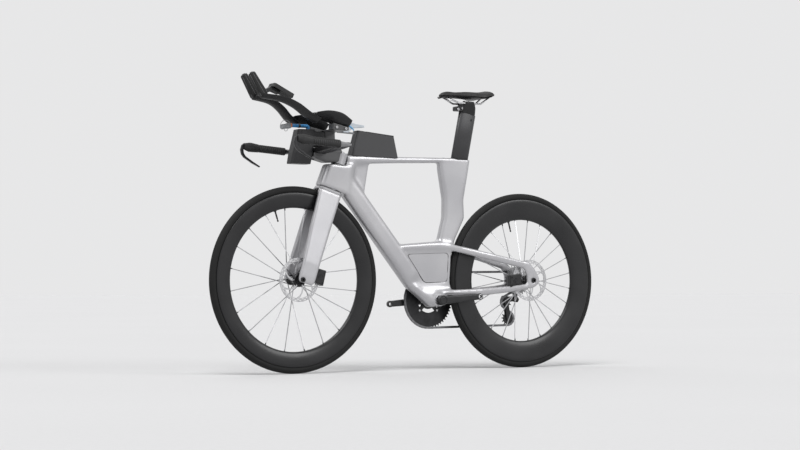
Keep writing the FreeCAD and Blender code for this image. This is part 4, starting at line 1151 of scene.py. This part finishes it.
tank_plastic = finish(
    "tank_plastic", (0.012, 0.012, 0.013), (0.020, 0.020, 0.022), (0.36, 0.46),
    broad=12, fine=700, height=0.00006, gleam=0.4,
)
spout_white = finish(
    "spout_white", (0.46, 0.50, 0.54), (0.56, 0.60, 0.64), (0.42, 0.52),
    broad=40, fine=800, height=0.00005,
)
hose_grey = finish(
    "hose_grey", (0.16, 0.165, 0.17), (0.22, 0.225, 0.23), (0.38, 0.48),
    broad=50, fine=800, height=0.00005,
)
tank_part, spout_part, hose_part = loose_parts("tank", "drink_tank")
tank_shell = melt_part(tank_part, "tank_shell", voxel=0.0015, rounds=6)
fit(tank_shell, "steering", "dark_plastic", tank_plastic, "drink_tank")
filler_spout = melt_part(spout_part, "filler_spout", voxel=0.0010, rounds=6)
fit(filler_spout, "steering", "valve_grey", spout_white, "drink_tank")
strap_blue = finish(
    "strap_blue", (0.09, 0.34, 0.62), (0.13, 0.42, 0.70), (0.40, 0.5),
    broad=40, fine=900, height=0.00005,
)
strap_route = (
    (-12, 147, 24), (-15, 150, 26.5), (-28, 148, 27), (-42, 140, 27), (-50, 133, 26.5), (-53, 130, 24),
)
strap = path_tube("filler_strap", [cockpit(*spot) for spot in strap_route], radius=0.0024)
fit(strap, "steering", "straw_blue", strap_blue)
filler_hose = melt_part(hose_part, "filler_hose", voxel=0.0008, rounds=4)
fit(filler_hose, "steering", "valve_grey", hose_grey, "drink_tank")

# Drinking straw: a blue tube with a black clip and an orange collar, and a soft grey bite valve.
# A thin wire clip runs over and under the valve.
straw_blue = finish(
    "straw_blue", (0.03, 0.20, 0.46), (0.05, 0.26, 0.56), (0.35, 0.45),
    broad=40, fine=900, height=0.00005,
)
dress("drink_straw", straw_blue)
clip_black = finish(
    "clip_black", (0.012, 0.012, 0.012), (0.020, 0.020, 0.020), (0.4, 0.5),
    broad=60, fine=900, height=0.00005,
)
collar_orange = finish(
    "collar_orange", (0.62, 0.17, 0.03), (0.72, 0.22, 0.05), (0.38, 0.46),
    broad=60, fine=900, height=0.00005,
)
valve_grey = finish(
    "valve_grey", (0.24, 0.25, 0.26), (0.32, 0.33, 0.34), (0.48, 0.58),
    broad=50, fine=900, height=0.00006,
)
ahead_way = Vector((1, 0, 0))
clip_profile = ((0, 6.4), (0.4, 7.4), (7.6, 7.4), (8, 6.4))
clip = spindle("straw_clip", clip_profile, sides=24, way=ahead_way, base=cockpit(158, 138))
fit(clip, "steering", "dark_plastic", clip_black)
collar_profile = ((0, 6.4), (0.4, 7.6), (5.6, 7.6), (6, 6.4))
collar = spindle("straw_collar", collar_profile, sides=24, way=ahead_way, base=cockpit(192, 138))
fit(collar, "steering", "straw_blue", collar_orange)
bite_profile = (
    (0, 6), (0.2, 9.4), (1.4, 10.4), (8, 10.6), (16, 9.6), (22, 8.8), (30, 9.4), (36, 8.8),
    (38.4, 7), (38.8, 3),
)
bite_way = Vector((38, 0, -8)).normalized()
valve = spindle("bite_valve_rubber", bite_profile, sides=32, way=bite_way, base=cockpit(198, 138))
shade_smooth(valve.data)
fit(valve, "steering", "valve_grey", valve_grey, "bite_valve")
clip_routes = {
    "over": ((200, 147, 3), (206, 155, 0), (218, 157, 0), (230, 152, 0), (237, 141, 0), (238, 134, 0)),
    "under": ((206, 129, 0), (208, 121, 0), (214, 116, 0), (221, 118, 0), (222, 124, 0)),
}
for name, route in clip_routes.items():
    wire = path_tube("valve_clip_" + name, [cockpit(*spot) for spot in route], radius=0.0009)
    fit(wire, "steering", "valve_grey", valve_grey)

# Seatpost: a carbon blade of rounded section, held in the frame's slot and left a satin dark grey.
# A small bolt in its side closes the head.
post_top = Vector((-0.246988, 0, 0.97907))
seat_up = Vector((-0.20108, 0, 0.97958))
seat_ahead = Vector((0.97958, 0, 0.20108))
post_carbon = finish(
    "post_carbon", (0.022, 0.022, 0.024), (0.034, 0.034, 0.037), (0.32, 0.42),
    broad=10, fine=1000, height=0.00003,
)


def blade(name, top, length, half_chord, half_thick):
    """Straight blade of rounded section hanging from its top; sizes in millimetres."""
    shape = bmesh.new()
    sides = 56
    loops = []
    for drop, draw in ((0, 0.97), (0.8, 1), (length, 1)):
        loop = []
        for k in range(sides):
            turn = 2 * math.pi * k / sides
            along = math.copysign(abs(math.cos(turn)) ** 0.86, math.cos(turn)) * half_chord
            thick = math.copysign(abs(math.sin(turn)) ** 0.74, math.sin(turn)) * half_thick
            spot = seat_ahead * (along * draw) + Vector((0, thick * draw, 0)) - seat_up * drop
            loop.append(shape.verts.new(top + spot * mm))
        loops.append(loop)
    capped(shape, loops)
    piece = closed_piece(name, shape)
    shade_smooth(piece.data)
    return piece


solid_length = -min((v.co - post_top).dot(seat_up) for v in nodes["seatpost"].data.vertices) / mm
hidden_end = 45
post = blade("seatpost_blade", post_top, solid_length - hidden_end, half_chord=37, half_thick=12)
fit(post, "seat", "carbon", post_carbon, "seatpost")
bolt_place = post_top - seat_up * 0.022 - seat_ahead * 0.016 + left_way * 0.0105
post_bolt = socket_bolts("post_bolt", [(bolt_place, left_way, 4.6, 2.2, 2.2)])
fit(post_bolt, "seat", "dark_alloy", lever_black)

# Saddle: a short carbon shell on steel rails, under a padded cover with a channel along its middle.
# The rails lie in a forged clamp whose cross bolts run through its ears.


def saddle(ahead, above, y=0.0):
    """Place about the saddle, in millimetres from the seatpost's top."""
    return post_top + Vector((ahead, y, above)) * mm


def saddle_shape(place):
    """Swept tail, drooping wings and a low nose of the finished saddle, as a rise of each point."""
    tail_start, tail_run, tail_rise = -28, 78, 10
    wing_middle, wing_run, wing_drop = -48, 42, 9
    nose_start, nose_run, nose_drop = 92, 38, 3
    half_width = 66
    ahead = (place.x - post_top.x) / mm
    side = min(1, abs(place.y) / (half_width * mm))
    tail = min(1, max(0, (tail_start - ahead) / tail_run))
    nose = min(1, max(0, (ahead - nose_start) / nose_run))
    rise = tail_rise * tail * tail * (3 - 2 * tail) * (1 - 0.3 * side * side)
    wing = wing_drop * side * side * math.exp(-((ahead - wing_middle) / wing_run) ** 2)
    return place + Vector((0, 0, rise - wing - nose_drop * nose * nose)) * mm


def reshape(piece):
    """Gives a piece of the saddle that shape."""
    for vertex in piece.data.vertices:
        vertex.co = saddle_shape(vertex.co)
    piece.data.update()


clamp_body = melted("clamp_body", "saddle_clamp", voxel=0.0010, rounds=8)
fit(clamp_body, "seat", "dark_alloy", caliper_black, "saddle_clamp")
ear_place = saddle(34, 17, 13)
ear = rounded_slab(
    "clamp_ear", ear_place, ahead_way, Vector((0, 0, 1)), half_long=24, half_wide=9, corner=6, thick=26,
)
fit(ear, "seat", "dark_alloy", caliper_black)
clamp_heads = []
for ahead, above, y in ((50, 14, 13), (31, 20, 13), (-20, 12, 11)):
    for side in (1, -1):
        clamp_heads.append((saddle(ahead, above, side * y), Vector((0, side, 0)), 5.2, 4.2, 2.4))
fit(socket_bolts("clamp_bolts", clamp_heads), "seat", "steel", bolt_steel)
rails = merged_copy("saddle_rail_pair", "saddle_rails")
reshape(rails)
fit(rails, "seat", "steel", bolt_steel, "saddle_rails")
base = melted("saddle_base", "saddle_shell", voxel=0.0016, rounds=6)
draw_start, draw_run = -0.040, 0.060
draw_in, draw_ahead = 0.08, 0.007
for vertex in base.data.vertices:
    back = min(1, max(0, (draw_start - vertex.co.x + post_top.x) / draw_run))
    vertex.co.y *= 1 - draw_in * back
    vertex.co.x += draw_ahead * back * back
reshape(base)
fit(base, "seat", "carbon", cockpit_carbon, "saddle_shell")
saddle_cover = finish(
    "saddle_cover", (0.008, 0.008, 0.008), (0.015, 0.015, 0.015), (0.46, 0.60),
    broad=40, fine=650, height=0.00025, gleam=0.4,
)
cushion = stuffed("saddle_cushion", "saddle_pad", voxel=0.005, draw=0.0015, cap=0.006)
channel_half, channel_depth, channel_fade = 0.016, 0.0075, 0.04
channel_back, channel_front = -0.075, 0.095
pad_top = post_top.z + 0.066
for vertex in cushion.data.vertices:
    ahead = vertex.co.x - post_top.x
    side = abs(vertex.co.y)
    if side < channel_half and vertex.co.z > pad_top and channel_back < ahead < channel_front:
        fade = min(1, (ahead - channel_back) / channel_fade, (channel_front - ahead) / channel_fade)
        vertex.co.z -= channel_depth * fade * (1 + math.cos(math.pi * side / channel_half)) / 2
reshape(cushion)
rounded_out(cushion)
fit(cushion, "seat", "foam", saddle_cover, "saddle_pad")

# Top tube box: a moulded plastic case that stands on the top tube behind the stem.
# Its lid is hinged on a pin.
box_plastic = finish(
    "box_plastic", (0.024, 0.024, 0.026), (0.036, 0.036, 0.039), (0.42, 0.54),
    broad=16, fine=800, height=0.00008,
)
box_case = melted("box_case", "top_tube_box", voxel=0.0011, rounds=4)
fit(box_case, "bike_frame", "box_plastic", box_plastic, "top_tube_box")
dress("box_lid", box_plastic)

# Cranks and chainring: forged black arms on one spindle, and a machined aluminium ring.
# Bright bolts hold the ring, and a steel insert takes each pedal's thread.
crank_black = finish(
    "crank_black", (0.010, 0.010, 0.011), (0.017, 0.017, 0.018), (0.26, 0.36),
    broad=30, fine=1200, height=0.00002, gleam=0.45,
)
for side in ("left", "right"):
    arm = melted("crank_" + side, "crank_arm_" + side, voxel=0.0012, rounds=5)
    fit(arm, "crank", "dark_alloy", crank_black, "crank_arm_" + side)
crank_way = Vector((-0.99619, 0, 0.08716))
crank_reach, pedal_y, cap_y = 0.16, 0.073, 0.0589
insert_outline = ((6.4, -4), (6.4, 0.3), (6.8, 0.6), (8.4, 0.6), (8.8, 0.3), (8.8, -4))
for side, out in (("left", 1), ("right", -1)):
    pedal = bracket + (crank_way * crank_reach + left_way * pedal_y) * out
    outline = [(radius, y * out) for radius, y in insert_outline]
    fit(turned("pedal_insert_" + side, outline, pedal, steps=32), "crank", "steel", bolt_steel)
crank_cap = socket_bolts("crank_cap", [(bracket + left_way * cap_y, left_way, 12, 2.2, 5)])
fit(crank_cap, "crank", "dark_alloy", lever_black)
ring_black = finish(
    "ring_black", (0.020, 0.020, 0.021), (0.034, 0.034, 0.036), (0.28, 0.38),
    broad=50, fine=1300, height=0.00003, metallic=0.6,
)
dress("chainring", turn_skin(ring_black, bracket, scale=2200, height=0.00004))
dress("chainring_bolts", bolt_steel)

# Chain and cassette: nickel plated steel, pressed and riveted, a little darkened by oil.
# The cassette's sprockets show fine turning marks about the axle.
chain_steel = finish(
    "chain_steel", (0.12, 0.12, 0.125), (0.22, 0.22, 0.225), (0.30, 0.42),
    broad=120, fine=1400, height=0.00003, metallic=1.0,
)
dress("chain", chain_steel)
cassette_steel = finish(
    "cassette_steel", (0.20, 0.20, 0.205), (0.32, 0.32, 0.325), (0.28, 0.40),
    broad=90, fine=1400, height=0.00003, metallic=1.0,
)
dress("cassette", turn_skin(cassette_steel, rear_axle, scale=2400, height=0.00003))

# Derailleur: forged knuckles and links, black, bolted to a hanger on the frame.
# Two toothed pulleys turn in its plate cage.
for node in (
    "derailleur_hanger", "derailleur_fixed_knuckle", "derailleur_outer_link", "derailleur_inner_link",
    "derailleur_moving_knuckle", "derailleur_cage", "guide_pulley", "tension_pulley",
):
    dress(node, caliper_black)
dress("frame_fasteners", bolt_steel)

# Studio: a plain pale floor that runs into a pale background of the same tone.
# Three broad soft lights come from above, and the world adds a little from all sides.
floor_half = 60
floor_corners = [(x * floor_half, y * floor_half, 0) for x, y in ((-1, -1), (1, -1), (1, 1), (-1, 1))]
floor_mesh = bpy.data.meshes.new("studio_floor")
floor_mesh.from_pydata(floor_corners, [], [(0, 1, 2, 3)])
floor = link("studio_floor", floor_mesh)
floor_grey = finish(
    "studio_floor", (0.715, 0.715, 0.72), (0.73, 0.73, 0.735), (0.8, 0.9),
    broad=0.6, fine=60, height=0.0001, speck=0.01, gleam=0.1,
)
floor_mesh.materials.append(floor_grey)
world = bpy.data.worlds.new("studio")
scene.world = world
world.use_nodes = True
sky = world.node_tree
lit = sky.nodes["Background"]
set_inputs(sky, lit, {"Color": (0.95, 0.95, 0.96, 1), "Strength": 0.32})
seen = add_node(sky, "ShaderNodeBackground", {"Color": (0.80, 0.80, 0.805, 1)})
rays = sky.nodes.new("ShaderNodeLightPath").outputs
mirrored = worked(sky, "MAXIMUM", rays["Is Camera Ray"], rays["Is Glossy Ray"])
either = worked(sky, "MAXIMUM", mirrored, rays["Is Transmission Ray"])
shades = {"Fac": either, 1: lit.outputs["Background"], 2: seen.outputs["Background"]}
blend = add_node(sky, "ShaderNodeMixShader", shades)
sky.links.new(blend.outputs["Shader"], sky.nodes["World Output"].inputs["Surface"])


def add_sun(name, way, spread, strength):
    """Broad soft light from one direction."""
    lamp = bpy.data.lights.new(name, "SUN")
    lamp.angle = math.radians(spread)
    lamp.energy = strength
    piece = bpy.data.objects.new(name, lamp)
    piece.rotation_euler = Vector(way).to_track_quat("-Z", "Y").to_euler()
    scene.collection.objects.link(piece)


add_sun("key", (-0.7, -0.7, -1.5), spread=40, strength=2.1)
add_sun("fill", (0.6, -0.9, -0.5), spread=26, strength=0.8)
add_sun("back", (-0.2, 1.0, -1.2), spread=50, strength=0.5)

# Camera: on the left of the bike and ahead of it, a little below the hubs and looking slightly up.
# Its place and focal length come from fitting both wheels to the photograph.
scene.view_settings.view_transform = "Standard"
lens = bpy.data.cameras.new("camera")
picture_width, focal_pixels = 800, 1747.9
lens.sensor_width = 36
lens.lens = lens.sensor_width * focal_pixels / picture_width
camera = bpy.data.objects.new("camera", lens)
yaw = math.radians(-121.172)
pitch = math.radians(2.045)
look = Vector((math.cos(pitch) * math.cos(yaw), math.cos(pitch) * math.sin(yaw), math.sin(pitch)))
camera.location = (3.4473, 5.6077, 0.3116)
camera.rotation_euler = look.to_track_quat("-Z", "Y").to_euler()
scene.collection.objects.link(camera)
scene.camera = camera
